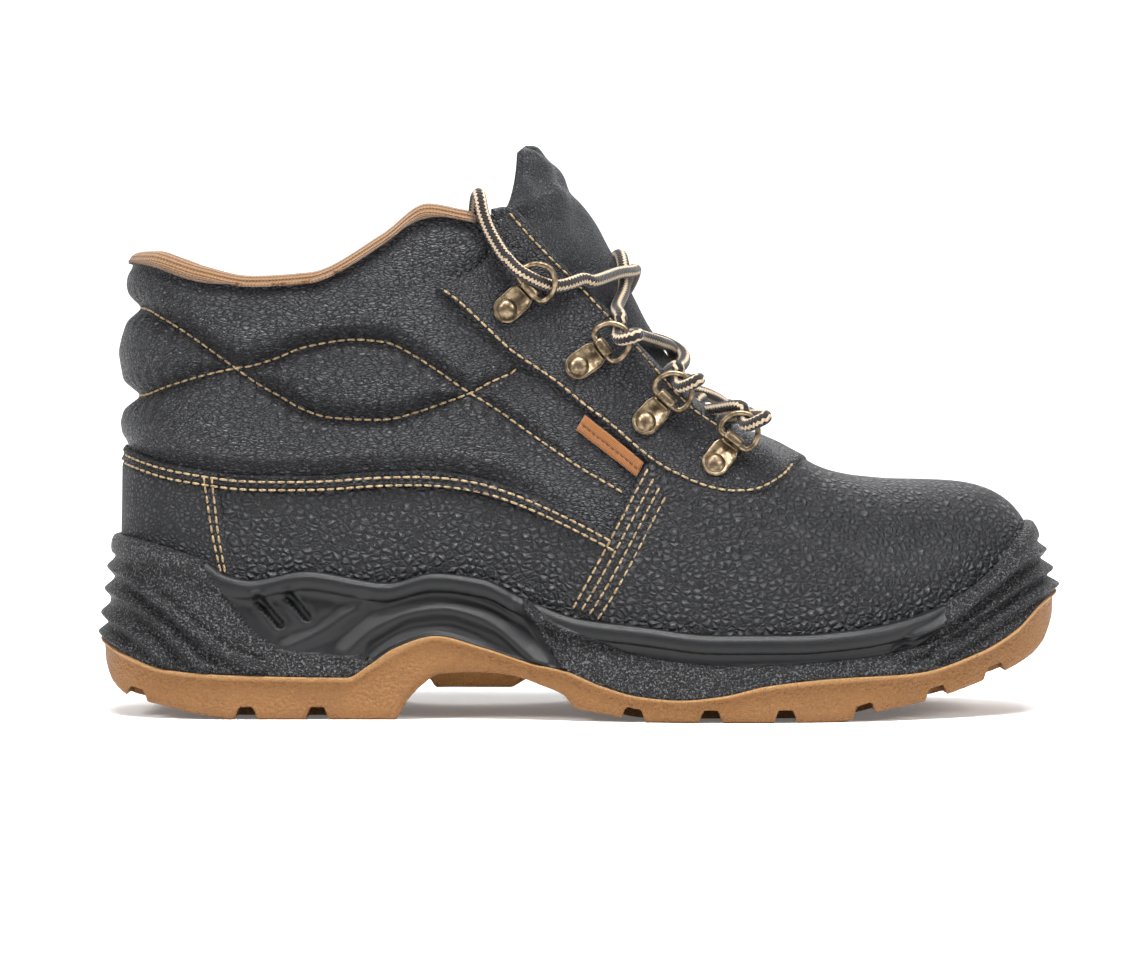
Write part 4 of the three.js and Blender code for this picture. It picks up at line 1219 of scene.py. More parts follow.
@dataclass
class Upper:
    """Sewn leather shell of the boot: ankle, quarters, heel, vamp, lace stay and lining."""

    pad: float = 3.7
    trough: float = 1.1
    stitch_line: float = 0.45

    def __post_init__(self) -> None:
        """Finds all seams on the form."""
        self.lines = {word: FORM.trace(line) for word, line in vars(SEAMS).items()}
        for word in ("band_low", "quilt_low", "quilt_high", "low_edge", "rim"):
            self.lines[word][0, 0] = 0.0
        self.lines["rim"][-1, 0] = FORM.girth
        self.near = {
            side: {word: Nearness(FORM.surface(*dense(line).T, side)) for word, line in self.lines.items()}
            for side in (OUTER, INNER)
        }

    @staticmethod
    def raised(line: Array, rise: float) -> Array:
        """Line moved up, kept on the form."""
        return np.stack([line[:, 0], np.clip(line[:, 1] + rise, 0, 1)], axis=-1)

    @staticmethod
    def between(line: Array, low: float, high: float) -> Array:
        """Part of a line between two girths."""
        inside = line[(line[:, 0] > low) & (line[:, 0] < high)]
        start, end = ([girth, np.interp(girth, *line.T)] for girth in (low, high))
        return np.vstack([start, inside, end])

    @staticmethod
    def heel_middle(bottom: Array, top: Array) -> Array:
        """Border up the middle of the heel, from the start of one line to that of another."""
        return np.array([[0, bottom[0, 1]], [0, top[0, 1]]])

    def ankle_relief(self, base: Array, girth: Array, side: float) -> Array:
        """Padding that swells between the quilting seams, with small creases."""
        near = self.near[side]
        seam = np.minimum(near["quilt_low"](base), near["quilt_high"](base))
        edges = np.minimum(near["band_low"](base), near["low_edge"](base) + 0.5)
        wall = np.minimum(seam, edges)
        front = near["stay_rear"](base)
        edge = np.array(sorted((z, x) for x, z in (*SEAMS.stay_rear, (-28.0, 144.0), (-25.0, 170.0))))
        behind = np.interp(base[..., 2], edge[:, 0], edge[:, 1]) - base[..., 0]
        band = np.array(SEAMS.band_low)
        under = base[..., 2] - np.interp(base[..., 0], band[:, 0], band[:, 1])
        full = np.sqrt(np.clip(wall / 13, 0, 1)) * ease(0, 5, wall) * ease(3, 22, front) * ease(-2, 9, behind)
        full = full * np.where(behind > 0, ease(0.5, -3.5, under), 1)
        ahead = ease(-30, 5, base[..., 0])
        below = 1 - ease(118, 128, base[..., 2]) * 0.25
        pad = self.pad * full * (1 - 0.75 * ahead) * below
        trough = -self.trough * (bump(seam, 1.5) + 0.5 * bump(seam, 5)) * (1 - 0.4 * ahead)
        heel_back = ease(34, 4, girth) * 0.9
        pleats = 0.34 * np.sin(girth * 1.25 + 2.2 * wave_noise(base, 40, 5))
        pleats = pleats * bump(seam - 3.2, 3.0) * (1 - ahead)
        waves = 0.3 * wave_noise(base * np.array([1, 1, 1.7]), 21, 11) * full
        return pad + trough - heel_back * bump(seam, 3.6) * 2.0 + waves + pleats

    def ankle(self) -> Patch:
        """Padded ankle panel, up to under the lace stay."""
        band = self.raised(self.lines["band_low"], 0.006)
        under_stay = [[FORM.girth_at(rib), rise] for rib, rise in ((8.2, 0.985), (11, 0.975), (12.6, 0.97))]
        top = np.vstack([band, under_stay])
        bottom = self.raised(self.lines["low_edge"], -0.035)
        right = np.vstack([bottom[-1], FORM.locate([(20.0, 66.0), (26.0, 84.0), (31.0, 93.0)]), top[-1]])
        return Patch("ankle_panel", Finish.CREASED, bottom, top, self.heel_middle(bottom, top),
                     right, 210, 90, lift=-0.9, thick=0.9, relief=self.ankle_relief)

    def quarter_relief(self, base: Array, girth: Array, side: float) -> Array:
        """Shallow troughs of the double seam under the edge, and slow waves."""
        near = self.near[side]["low_edge"](base)
        sewn = -self.stitch_line * (bump(near - 2.4, 0.8) + bump(near - 4.9, 0.8))
        return sewn + 0.35 * wave_noise(base, 60, 3) * ease(4, 16, near)

    def quarter(self) -> Patch:
        """Pebbled lower quarter with its raised top edge."""
        edge = self.lines["low_edge"]
        bottom = self.between(self.lines["rim"], 0, float(edge[-1, 0]) - 3)
        return Patch("lower_quarter", Finish.PEBBLED, bottom, edge, self.heel_middle(bottom, edge),
                     np.array([bottom[-1], edge[-1]]), 165, 52,
                     lift=-0.7, thick=1.9, edge=1.5, free=("top",), relief=self.quarter_relief)

    def heel_relief(self, base: Array, girth: Array, side: float) -> Array:
        """Troughs of the heel seams."""
        near = self.near[side]
        sewn = bump(near["low_edge"](base) - 2.4, 0.8) + bump(near["low_edge"](base) - 4.9, 0.8)
        down = bump(near["heel_seam"](base), 0.8)
        return -self.stitch_line * sewn - 0.3 * down + 0.15 * wave_noise(base, 35, 9)

    def heel(self) -> Patch:
        """Smoother heel panel, over the lower quarter."""
        end = float(self.lines["heel_edge"][0, 0])
        top = self.between(self.lines["low_edge"], 0, end)
        bottom = self.between(self.lines["rim"], 0, float(self.lines["heel_edge"][-1, 0]))
        return Patch("heel_panel", Finish.HEEL, bottom, top, self.heel_middle(bottom, top),
                     self.lines["heel_edge"][::-1], 60, 60, lift=0.1, thick=1.7, edge=1.3,
                     free=("top", "right"), relief=self.heel_relief)

    def vamp_relief(self, base: Array, girth: Array, side: float) -> Array:
        """Flex creases across the ball and the seam's pull near its rear edge."""
        near = self.near[side]["vamp_edge"](base)
        x, _, z = np.moveaxis(base, -1, 0)
        sewn = sum(bump(near - at, 0.75) for at in (1.4, 4.1, 6.8, 9.6)) * -0.4
        flex = np.zeros(x.shape)
        for place, lean, depth, width in ((52, 0.18, 0.5, 5.5), (66, 0.1, 0.42, 5.0), (80, 0.05, 0.25, 5.5)):
            line = x - place - lean * (z - 55) - 2.2 * np.sin(z / 13 + place)
            flex -= depth * bump(line, width) * ease(24, 44, z) * (1 - ease(74, 82, z))
        pulls = 0.2 * np.sin(z * 0.85 + 0.12 * x) * bump(near - 17, 9)
        return sewn + flex + pulls + 0.28 * wave_noise(base, 55, 21) * (1 - ease(95, 120, x))

    def vamp(self) -> Patch:
        """Pebbled vamp and toe, one piece over both sides."""
        left = np.vstack([self.lines["vamp_edge"], FORM.locate([(26, 85), (38, 88)]),
                          [[FORM.girth_at(FORM.throat_rib + 0.02), 1.0]]])
        start = float(left[0, 0])
        bottom = self.between(self.lines["rim"], start, FORM.girth)
        top = np.array([[left[-1, 0], 1.0], [FORM.girth, 1.0]])
        toe = np.linspace(bottom[-1, 1], 1, 60)
        right = np.stack([np.full(60, FORM.girth), toe], axis=-1)
        left = np.vstack([[start, bottom[0, 1]], left[1:]])
        return Patch("vamp", Finish.PEBBLED, bottom, top, left, right, 160, 110,
                     lift=0.0, thick=1.3, edge=1.2, free=("left",), relief=self.vamp_relief)

    def stay_relief(self, base: Array, girth: Array, side: float) -> Array:
        """Trough of the stay's seams and gentle pull at the rings."""
        near = self.near[side]
        rear = near["stay_rear"](base)
        sewn = -0.4 * bump(rear - 1.2, 0.8) - 0.35 * bump(near["stay_front"](base), 0.8)
        return sewn + 0.3 * wave_noise(base * np.array([1.6, 1, 0.9]), 17, 31) * ease(2, 7, rear)

    def stay(self) -> Patch:
        """Fine-grained lace stay along the throat and round its foot."""
        rear = self.lines["stay_rear"]
        turn = int(np.argmin(np.abs(FORM.surface(*rear.T, OUTER)[:, 0] - 57)))
        right = np.vstack([rear[turn:], [[FORM.girth_at(15.35), 1.0]]])
        start = float(self.lines["stay_fold"][-1, 0])
        top = np.stack([np.linspace(start, right[-1, 0], 80), np.ones(80)], axis=-1)
        left = np.vstack([self.lines["stay_fold"], [[start, 1.0]]])
        return Patch("lace_stay", Finish.FINE, rear[: turn + 1], top, left, right, 160, 46,
                     lift=0.5, thick=1.3, edge=1.3, free=("bottom", "right", "left", "top"),
                     relief=self.stay_relief, cut=2.2)

    def lining(self) -> Piece:
        """Knitted collar band that rolls over the top edge, and the lining down to the foot bed."""
        end = float(self.lines["band_low"][-1, 0])
        girth = np.concatenate([np.linspace(0, end + 4, 150), np.linspace(end + 4, FORM.girth, 90)[1:]])
        number = FORM.number_at(girth)
        shown = 1 - ease(end - 5, end + 2, girth)
        low = np.interp(girth, self.lines["band_low"][:, 0], self.lines["band_low"][:, 1])
        meshes = []
        for side in (OUTER, INNER):
            rows, down = [], []
            top_rise = np.where(number > FORM.throat_rib, 1.0, 0.975)
            thick = FORM.wall(number, np.ones(girth.shape)) + 0.9 * ease(13, 14.5, number)
            top, out = FORM.surface(girth, top_rise, side), FORM.normal(girth, top_rise, side)
            out[..., 2] *= np.where(number > FORM.throat_rib - 0.5, 1, 0.3)
            out = unit(out)
            for share in np.linspace(0, 1, 9, endpoint=False):
                rise = mix(mix(top_rise, low, shown), top_rise, share)
                swell = 0.35 + 1.35 * math.sin(math.pi * min(1, share * 0.75 + 0.08))
                puff = shown * swell - 1.4 * (1 - shown)
                rows.append(FORM.surface(girth, rise, side) + FORM.normal(girth, rise, side) * puff[:, None])
                down.append(share * 6)
            height = np.where(number > FORM.throat_rib - 0.2, 0.0, 3.0 * shown + 0.6 * (1 - shown))
            skirt = 1.1 * shown - 1.4 * (1 - shown)
            for angle in np.linspace(0, math.pi, 12):
                depth = (skirt + thick) * (1 - math.cos(angle)) / 2 - skirt
                lifted = np.array([0, 0, 1]) * (height * math.sin(angle))[:, None]
                rows.append(top - out * depth[:, None] + lifted)
                down.append(6 + angle * 3.2)
            for share in np.linspace(0, 1, 26)[1:]:
                rise = mix(top_rise, 0.02, share)
                inward = FORM.wall(number, rise) + 0.5 * np.sin(share * 3.14)
                normal = unit(mix(out, FORM.normal(girth, rise, side), min(1.0, share * 6)))
                rows.append(FORM.surface(girth, rise, side) - normal * inward[:, None])
                down.append(16 + share * 110)
            points = np.stack(rows, axis=1)
            along = np.broadcast_to(girth[:, None], points.shape[:2])
            uv = np.stack([along, np.broadcast_to(np.array(down)[None], points.shape[:2])], axis=-1)
            meshes.append(grid_mesh("lining_half", points, uv, flip=side == INNER))
        piece = make_object("collar_lining", joined("collar_lining", meshes, 0.03))
        wall = piece.modifiers.new("cloth_thickness", "SOLIDIFY")
        wall.thickness = 0.6 * MM
        wall.offset = -1
        return WARDROBE.dress(piece, Finish.KNIT, "upper")

    @staticmethod
    def below(line: Array, distance: float) -> Array:
        """Line moved down the leather by a distance in millimetres."""
        small = 0.01
        step = FORM.surface(*line.T, OUTER) - FORM.surface(line[:, 0], line[:, 1] - small, OUTER)
        return np.stack([line[:, 0], line[:, 1] - small * distance / np.linalg.norm(step, axis=-1)], axis=-1)

    @staticmethod
    def sunk(line: Array) -> Array:
        """Heights of the padded leather along a quilting seam."""
        x = FORM.surface(*line.T, OUTER)[:, 0]
        return -1.3 + 0.6 * ease(-30, 5, x) - 1.8 * ease(34, 4, line[:, 0])

    def seams(self) -> None:
        """Sews every seam."""
        sew = Stitching()
        lines = self.lines
        quilt = [(line, self.sunk(line)) for line in (lines["quilt_low"][2:], lines["quilt_high"][2:])]
        sew.build("quilting_stitches", quilt)
        low = self.below(lines["low_edge"], 2.4), self.below(lines["low_edge"], 4.9)
        sew.build("quarter_stitches", [(low[0][4:-4], 1.95), (low[1][4:-3], 2.1)])
        heel = lines["heel_seam"]
        second = heel + np.array([2.5, 0.0]) * np.linspace(1, 0.5, len(heel))[:, None]
        sew.build("heel_stitches", [(heel, 1.9), (second, 1.9)])
        edge = lines["vamp_edge"]
        rows = ((1.4, 5, 0), (4.1, 5, 2), (6.8, 4, 4), (9.6, 3, 6))
        sew.build("vamp_stitches", [
            (edge[start: len(edge) - stop] + np.array([at * 1.13, 0]), 1.25) for at, start, stop in rows
        ])
        inside = self.inset(lines["stay_rear"], 1.2)
        sew.build("stay_stitches", [(inside[2:], 1.7), (lines["stay_front"], 1.75)])

    @staticmethod
    def inset(line: Array, distance: float) -> Array:
        """Line of the stay's rear edge moved into the stay, across its own direction."""
        places = FORM.surface(*line.T, OUTER)
        across = np.cross(unit(np.gradient(places, axis=0)), FORM.normal(*line.T, OUTER))
        moved = places + across * math.copysign(distance, across[:, 2].mean())
        return FORM.locate(moved[:, [0, 2]])

    def build(self) -> None:
        """Makes the whole upper."""
        for patch in (self.ankle(), self.quarter(), self.heel(), self.vamp(), self.stay()):
            patch.build()
        self.lining()
        self.seams()


@dataclass
class Tongue:
    """Padded tongue, arched under the laces and rising past the collar."""

    height: float = 180.0
    thickness: float = 4.5
    rows: Points = (
        (0.725, 0.399, 0.198, 0.067, 0.5), (0.68, 0.449, 0.2, 0.106, 0.7), (0.636, 0.534, 0.226, 0.17, 0.9),
        (0.594, 0.622, 0.243, 0.214, 1.0), (0.563, 0.71, 0.25, 0.258, 1.0), (0.53, 0.816, 0.259, 0.288, 1.0),
        (0.5, 0.9, 0.258, 0.283, 1.0), (0.476, 0.957, 0.235, 0.205, 0.9), (0.446, 1.006, 0.09, 0.04, 0.7),
    )

    def __post_init__(self) -> None:
        """Makes the curves of the tongue's middle line and section."""
        at = range(len(self.rows))
        width = FORM.ball_width
        self.x = Table(at, [(row[0] - 0.5) * FORM.length for row in self.rows])
        self.z = Table(at, [row[1] * self.height for row in self.rows])
        self.half = Table(at, [row[2] * width for row in self.rows])
        self.drop = Table(at, [row[3] * width for row in self.rows])
        self.thick = Table(at, [row[4] * self.thickness for row in self.rows])

    def front(self, number: Array) -> Array:
        """Directions out of the tongue's front along its middle line."""
        ahead_x = self.x(number + 0.05) - self.x(number - 0.05)
        ahead_z = self.z(number + 0.05) - self.z(number - 0.05)
        return unit(np.stack([ahead_z, np.zeros(np.shape(number)), -ahead_x], axis=-1))

    def point(self, number: Array, across: Array) -> Array:
        """Points of the front face, from a row's number and a share across."""
        number, across = np.broadcast_arrays(np.asarray(number, float), np.asarray(across, float))
        x = self.x(number)
        centre = FORM.centre_at(x / FORM.length + 0.5) * FORM.ball_width
        crown = np.stack([x, centre + across * self.half(number), self.z(number)], axis=-1)
        return crown - self.front(number) * (self.drop(number) * across**2)[..., None]

    def normal(self, number: Array, across: Array) -> Array:
        """Directions out of the front face."""
        ahead = self.point(number + 0.03, across) - self.point(number - 0.03, across)
        beside = self.point(number, across + 0.01) - self.point(number, across - 0.01)
        return unit(np.cross(beside, ahead))

    @staticmethod
    def folds(number: Array, across: Array, place: Array) -> Array:
        """Soft folds along the tongue, a ridge beside each edge and creases near the tip."""
        up = ease(4.2, 6.4, number)
        ridge = 0.75 * bump(np.abs(across) - 0.8, 0.07) * ease(2, 4, number)
        long = 1.3 * np.sin(across * 8.5 + 0.9 * np.sin(number * 1.6)) * up
        slant = 0.8 * np.sin(number * 5.6 + across * 6.0) * ease(5.2, 6.8, number)
        lean = 0.7 * wave_noise(place, 13, 41) * (0.4 + 0.6 * up)
        return ridge + long + slant + lean

    def build(self) -> Piece:
        """Makes the closed padded form."""
        last = len(self.rows) - 1
        tip = last - 0.5 * np.linspace(1, 0, 26)[1:] ** 1.5
        number = np.concatenate([np.linspace(0, last - 0.5, 130), tip])
        around = np.linspace(-1, 1, 71)
        n, a = np.meshgrid(number, around, indexing="ij")
        n_in = np.clip(n, 0.04, last - 0.04)
        place = self.point(n, a)
        out = self.normal(n_in, a * 0.985)
        side_round = np.sqrt(np.clip(1 - (np.abs(a)) ** 14, 0, 1))
        tip_round = np.sqrt(np.clip(1 - ease(last - 0.45, last, n) ** 3, 0, 1))
        body = self.thick(n) * (1 - 0.55 * a**2) * side_round * tip_round
        folds = self.folds(n, a, place) * side_round * tip_round
        shrink = self.thick(n) * 0.35 * (1 - side_round * tip_round)
        front = place + out * folds[..., None] - out * shrink[..., None]
        back = place - out * (body + shrink)[..., None]
        back = back + out * (folds * 0.5)[..., None]
        ring = np.concatenate([front, back[:, ::-1][:, 1:]], axis=1)
        uv = np.stack(np.meshgrid(*map(np.arange, ring.shape[:2]), indexing="ij"), axis=-1) * 1.0
        mesh = joined("padded_tongue", [grid_mesh("tongue", ring, uv)], 0.01)
        shape = bmesh.new()
        shape.from_mesh(mesh)
        bmesh.ops.holes_fill(shape, edges=[e for e in shape.edges if e.is_boundary], sides=0)
        bmesh.ops.recalc_face_normals(shape, faces=shape.faces)
        shape.to_mesh(mesh)
        shape.free()
        piece = make_object("padded_tongue", mesh)
        WARDROBE.dress(piece, Finish.TONGUE, "tongue")
        return piece


class Track:
    """Line drawn in the side view, for ridges and grooves of the sole."""

    def __init__(self, points: Points) -> None:
        """Keeps the line's closely spaced places."""
        line = smooth_line(points, 0.4)
        self.tree = Nearness(np.stack([line[:, 0], np.zeros(len(line)), line[:, 1]], axis=-1))

    def __call__(self, x: Array, z: Array) -> Array:
        """Distance of places of the side view to the line."""
        return self.tree(np.stack([x, np.zeros(x.shape), z], axis=-1))


@dataclass
class Sole:
    """Sizes that the midsole and the outsole share."""

    floor: float = 6.0
    bond: float = 4.2
    bond_step: float = 1.5
    foxing: float = 3.6
    bevel: float = 2.4
    ground: Points = (
        (0.0, 0.6), (0.012, 0.37), (0.03, 0.24), (0.066, 0.155), (0.105, 0.06), (0.146, 0.0), (0.3066, 0.0),
        (0.32, 0.23), (0.335, 0.41), (0.354, 0.55), (0.395, 0.57), (0.426, 0.54), (0.46, 0.415),
        (0.482, 0.31),
        (0.494, 0.16), (0.53, 0.08), (0.566, 0.0), (0.765, 0.0), (0.8, 0.1), (0.86, 0.23), (0.92, 0.44),
        (0.965, 0.65), (0.985, 0.82), (1.0, 1.12),
    )
    seam: Points = (
        (0.0, 0.92), (0.03, 0.76), (0.075, 0.59), (0.14, 0.53), (0.262, 0.5), (0.284, 0.645), (0.312, 0.86),
        (0.352, 1.0), (0.4, 0.865), (0.45, 0.68), (0.485, 0.59), (0.52, 0.425), (0.56, 0.3), (0.6, 0.265),
        (0.64, 0.31), (0.69, 0.44), (0.76, 0.52), (0.84, 0.56), (0.91, 0.79), (0.95, 1.04), (0.98, 1.35),
        (1.0, 1.48),
    )
    rim: Points = (
        (0.0, 2.15), (0.03, 2.1), (0.07, 1.98), (0.105, 1.85), (0.13, 1.68), (0.155, 1.63), (0.215, 1.74),
        (0.3, 1.6), (0.35, 1.72), (0.4, 1.65), (0.44, 1.43), (0.5, 1.18), (0.56, 1.1), (0.64, 1.0),
        (0.72, 1.0), (0.79, 1.06), (0.85, 1.2), (0.9, 1.42), (0.94, 1.72), (0.97, 2.02), (1.0, 2.3),
    )

    def __post_init__(self) -> None:
        """Makes the curves and the evenly spaced stations around the outline."""
        self.ground_at, self.seam_at, self.rim_at = (
            Table([row[0] for row in rows], [row[1] * FORM.heel_height for row in rows])
            for rows in (self.ground, self.seam, self.rim)
        )
        fine = 0.5 - 0.5 * np.cos(np.linspace(0, np.pi, 4000))
        x, y = FORM.outline(fine, OUTER, 0)
        along = np.concatenate([[0], np.cumsum(np.hypot(np.diff(x), np.diff(y)))])
        self.fine, self.along = fine, along

    def stations(self, step: float) -> Array:
        """Shares of the length at even distances around the outline."""
        count = int(self.along[-1] / step)
        return np.interp(np.linspace(0, self.along[-1], count), self.along, self.fine)

    def core(self, share: Array) -> Array:
        """Height of the outsole's middle under the foot bed."""
        return np.minimum(self.seam_at(share), FORM.bed_at(share) * FORM.heel_height - self.floor)


SOLE = Sole()


def sideways(points: Array) -> Array:
    """Directions out of a wall given as a grid of places, flat in the plan."""
    ahead = np.gradient(points, axis=0)
    out = np.stack([ahead[..., 1], -ahead[..., 0], np.zeros(ahead.shape[:-1])], axis=-1)
    return unit(out)


@dataclass
class Midsole:
    """Black foam cup with its beaded rim, wavy ridges, slots and grain zones."""

    bead: float = 1.5
    half_way: float = 0.35
    wall_rows: int = 72
    heel_ridges: tuple[Points, ...] = (
        ((-150.0, 47.0), (-141.0, 43.5), (-134.0, 38.0), (-126.5, 32.5), (-119.5, 26.5), (-110.0, 20.0),
         (-99.0, 15.5)),
        ((-151.0, 40.0), (-144.0, 37.5), (-137.0, 34.0), (-129.5, 28.0), (-122.5, 20.5), (-116.0, 16.0)),
        ((-152.0, 32.5), (-146.0, 30.0), (-138.0, 26.0), (-131.0, 20.0), (-127.0, 15.5)),
        ((-152.0, 25.5), (-147.0, 23.5), (-141.0, 19.5), (-137.0, 15.5)),
    )
    toe_ridges: tuple[Points, ...] = (
        ((150.0, 52.0), (143.0, 50.5), (136.0, 47.0), (128.0, 41.5), (120.0, 35.0), (112.0, 29.0),
         (103.0, 25.0)),
        ((151.0, 46.0), (145.0, 44.0), (137.0, 40.0), (128.0, 34.5), (119.0, 29.0), (110.0, 24.0),
         (100.0, 20.5)),
        ((151.5, 40.5), (145.0, 38.5), (137.0, 34.5), (128.0, 29.5), (119.0, 24.0), (111.0, 20.0)),
    )
    waist_ridges: tuple[Points, ...] = (
        ((-90.9, 22.5), (-80.0, 27.5), (-68.2, 35.7)),
        ((-72.6, 20.7), (-66.4, 26.4), (-60.5, 30.1), (-54.2, 32.9), (-46.5, 34.2), (-40.2, 34.2),
         (-33.4, 32.4), (-26.9, 29.2), (-20.7, 24.4), (-12.4, 17.3)),
        ((-18.5, 36.5), (-17.0, 34.7), (-13.0, 28.5), (-8.7, 21.1), (-3.7, 13.3)),
    )
    arch: Points = ((-66, 25), (-54, 32), (-46, 33.4), (-40, 33.4), (-26, 28.5), (-16, 20))
    slots: tuple[Points, ...] = (((-100.2, 37.5), (-93.4, 29.7)), ((-90.6, 38.4), (-85.0, 31.9)))
    heel_zone: Points = (
        (-119.0, 50.0), (-113.7, 42.2), (-109.9, 37.1), (-106.1, 32.5), (-102.4, 27.2), (-98.3, 24.1),
        (-93.7, 21.7), (-85.6, 20.3), (-76.0, 19.8), (-66.7, 19.5),
    )
    fore_zone: Points = (
        (-17.0, 37.0), (-8.0, 30.0), (5.8, 24.4), (13.5, 21.3), (21.2, 19.8), (31.3, 18.3), (41.5, 17.5),
        (51.5, 17.3), (67.0, 17.8), (85.9, 19.4), (93.1, 20.3), (103.5, 22.3), (107.9, 24.7), (112.1, 28.3),
        (114.5, 36.0),
    )

    def coarse(self, x: Array, z: Array) -> Array:
        """1 where the grain is coarse and 0 where the foam is satin, soft over a millimetre."""
        heel_line = np.interp(x, *zip(*self.heel_zone), left=99, right=-99)
        heel_line = np.where(x > -66.7, np.interp(x, [-66.7, -60], [19.5, 5.0], right=-99), heel_line)
        fore_line = np.interp(x, *zip(*self.fore_zone), left=-99, right=99)
        wedge = np.interp(x, [-18.5, -13.0, -3.7], [36.5, 28.5, 13.3], left=99, right=-99)
        fore_low = ease(0.5, -0.5, z - fore_line) * ease(-0.5, 0.5, z - wedge)
        return np.maximum(ease(0.5, -0.5, z - heel_line), fore_low)

    def features(self, x: Array, z: Array, share: Array, rows: Array) -> Array:
        """Height of ridges, steps, slots and the bead over the plain wall."""
        grain = self.coarse(x, z)
        height = 0.35 * grain
        ends = [(ridge, 1.7, 1.3) for ridge in (*self.heel_ridges, *self.toe_ridges)]
        sizes = (0.9, 1.6), (1.35, 2.0), (1.1, 1.3)
        waist = [(ridge, *size) for ridge, size in zip(self.waist_ridges, sizes)]
        for line, size, width in ends + waist:
            near = Track(line)(x, z)
            height = height + size * (bump(near, width) - 0.4 * bump(near - 2.3 * width, 0.75 * width))
        inside_arch = np.interp(x, *zip(*self.arch), left=-99, right=-99)
        height = height - 0.9 * ease(0, 3.0, inside_arch - z)
        for slot in self.slots:
            near = Track(slot)(x, z)
            height = height + 0.75 * bump(near - 2.1, 0.75) - 1.7 * ease(1.7, 1.0, near)
        beaded = ease(0.135, 0.16, share) * (1 - ease(0.87, 0.9, share))
        from_rim = SOLE.rim_at(share) - z
        bead = self.bead * np.sqrt(np.clip(1 - ((from_rim - 2.4) / 2.6) ** 2, 0, 1))
        hollow = -0.8 * bump(from_rim - 7.2, 2.2)
        height = height + beaded * (bead + hollow)
        wrap = 0.9 * np.sqrt(np.clip(1 - ((from_rim - 2.6) / 2.8) ** 2, 0, 1)) * (1 - beaded)
        groove = bump(z - np.interp(x, *zip(*self.fore_zone)) + 0.8, 0.7)
        groove = groove * ease(-10, 5, x) * (1 - ease(106, 113, x))
        return (height + wrap - 0.7 * groove) * ease(0.0, 0.07, rows)

    def half(self, side: float, share: Array) -> tuple[Array, Array]:
        """Section points and their grain, from the core over the wall and the rim down to the bed."""
        s, h = np.meshgrid(share, np.linspace(0, 1, self.wall_rows), indexing="ij")
        seam, rim = SOLE.seam_at(share) + FORM.gap, SOLE.rim_at(share)
        numbers = np.linspace(0, len(FORM.ribs) - 1, 3000)
        number = np.interp(share, FORM.rib[0](numbers), numbers)
        foot = FORM.upper(number, np.zeros(share.shape), side)
        lean = FORM.upper(number, self.rise_at(number, rim), side) - foot
        middle = 4 * self.half_way
        top_in = FORM.ledge - SOLE.foxing
        inset = (middle * FORM.ledge - top_in) * h + (2 * top_in - middle * FORM.ledge) * h**2
        leant = lean[:, None, :2] * ((middle - 1) * h + (2 - middle) * h**2)[..., None]
        wall = FORM.loop(s, side, inset, mix(seam[:, None], rim[:, None], h))
        wall[..., :2] += leant
        out = sideways(wall) * -side
        out[np.abs(out).sum(axis=-1) < 0.5] = [1, 0, 0]
        out[0], out[-1] = [-1, 0, 0], [1, 0, 0]
        height = self.features(wall[..., 0], wall[..., 2], s, h)
        grain = self.coarse(wall[..., 0], wall[..., 2])
        wall = wall + out * height[..., None]
        wall[0, :, 1] = FORM.centre_at(0) * FORM.ball_width
        wall[-1, :, 1] = FORM.centre_at(1) * FORM.ball_width
        top, outer = [], wall[:, -1]
        inner = FORM.loop(share, side, FORM.ledge - FORM.gap, rim + 0.1)
        inner[:, :2] += lean[:, :2]
        for angle in np.linspace(0, np.pi, 9)[1:]:
            place = mix(outer, inner, (1 - math.cos(angle)) / 2)
            place[:, 2] = rim + 1.0 * math.sin(angle) - 0.8 * ease(2.4, 3.14, angle)
            top.append(place)
        down = []
        bed = FORM.bed_at(share) * FORM.heel_height
        for share_up in (0.8, 0.45):
            on = FORM.upper(number, self.rise_at(number, mix(bed, rim, share_up)), side)
            place = FORM.loop(share, side, FORM.ledge - 2 * FORM.gap, on[:, 2])
            place[:, :2] += (on - foot)[:, :2]
            down.append(place)
        down.append(FORM.loop(share, side, FORM.ledge - FORM.gap, bed))
        low = [
            FORM.loop(share, side, SOLE.bond + FORM.gap + extra, height_at + FORM.gap)
            for extra, height_at in ((SOLE.bond_step, SOLE.core(share)), (0.0, SOLE.seam_at(share)))
        ]
        points = np.stack([*low, *np.moveaxis(wall, 1, 0), *top, *down], axis=1)
        first, last = np.repeat(grain[:, :1], len(low), 1), np.repeat(grain[:, -1:], len(top), 1)
        grains = np.concatenate([first, grain, last, np.ones((len(share), len(down)))], axis=1)
        return points, grains

    @staticmethod
    def rise_at(number: Array, height: Array) -> Array:
        """Shares up the ribs at which the upper's face has the given heights."""
        tries = np.linspace(0, 1, 240)
        n, r = np.meshgrid(number, tries, indexing="ij")
        z = FORM.upper(n, r, np.full(n.shape, OUTER))[..., 2]
        return np.array([np.interp(h, row, tries) for h, row in zip(height, z)])

    def build(self) -> Piece:
        """Makes the closed cup."""
        share = SOLE.stations(0.95)
        near, near_grain = self.half(OUTER, share)
        far, far_grain = self.half(INNER, share)
        points = np.concatenate([near, far[:, ::-1], near[:, :1]], axis=1)
        grain = np.concatenate([near_grain, far_grain[:, ::-1], near_grain[:, :1]], axis=1)
        cup = grid_mesh("midsole", points, layers={"grain": grain})
        mesh = joined("foam_midsole", [cup], 0.01, closed=True)
        return WARDROBE.dress(make_object("foam_midsole", mesh), Finish.FOAM, "midsole")


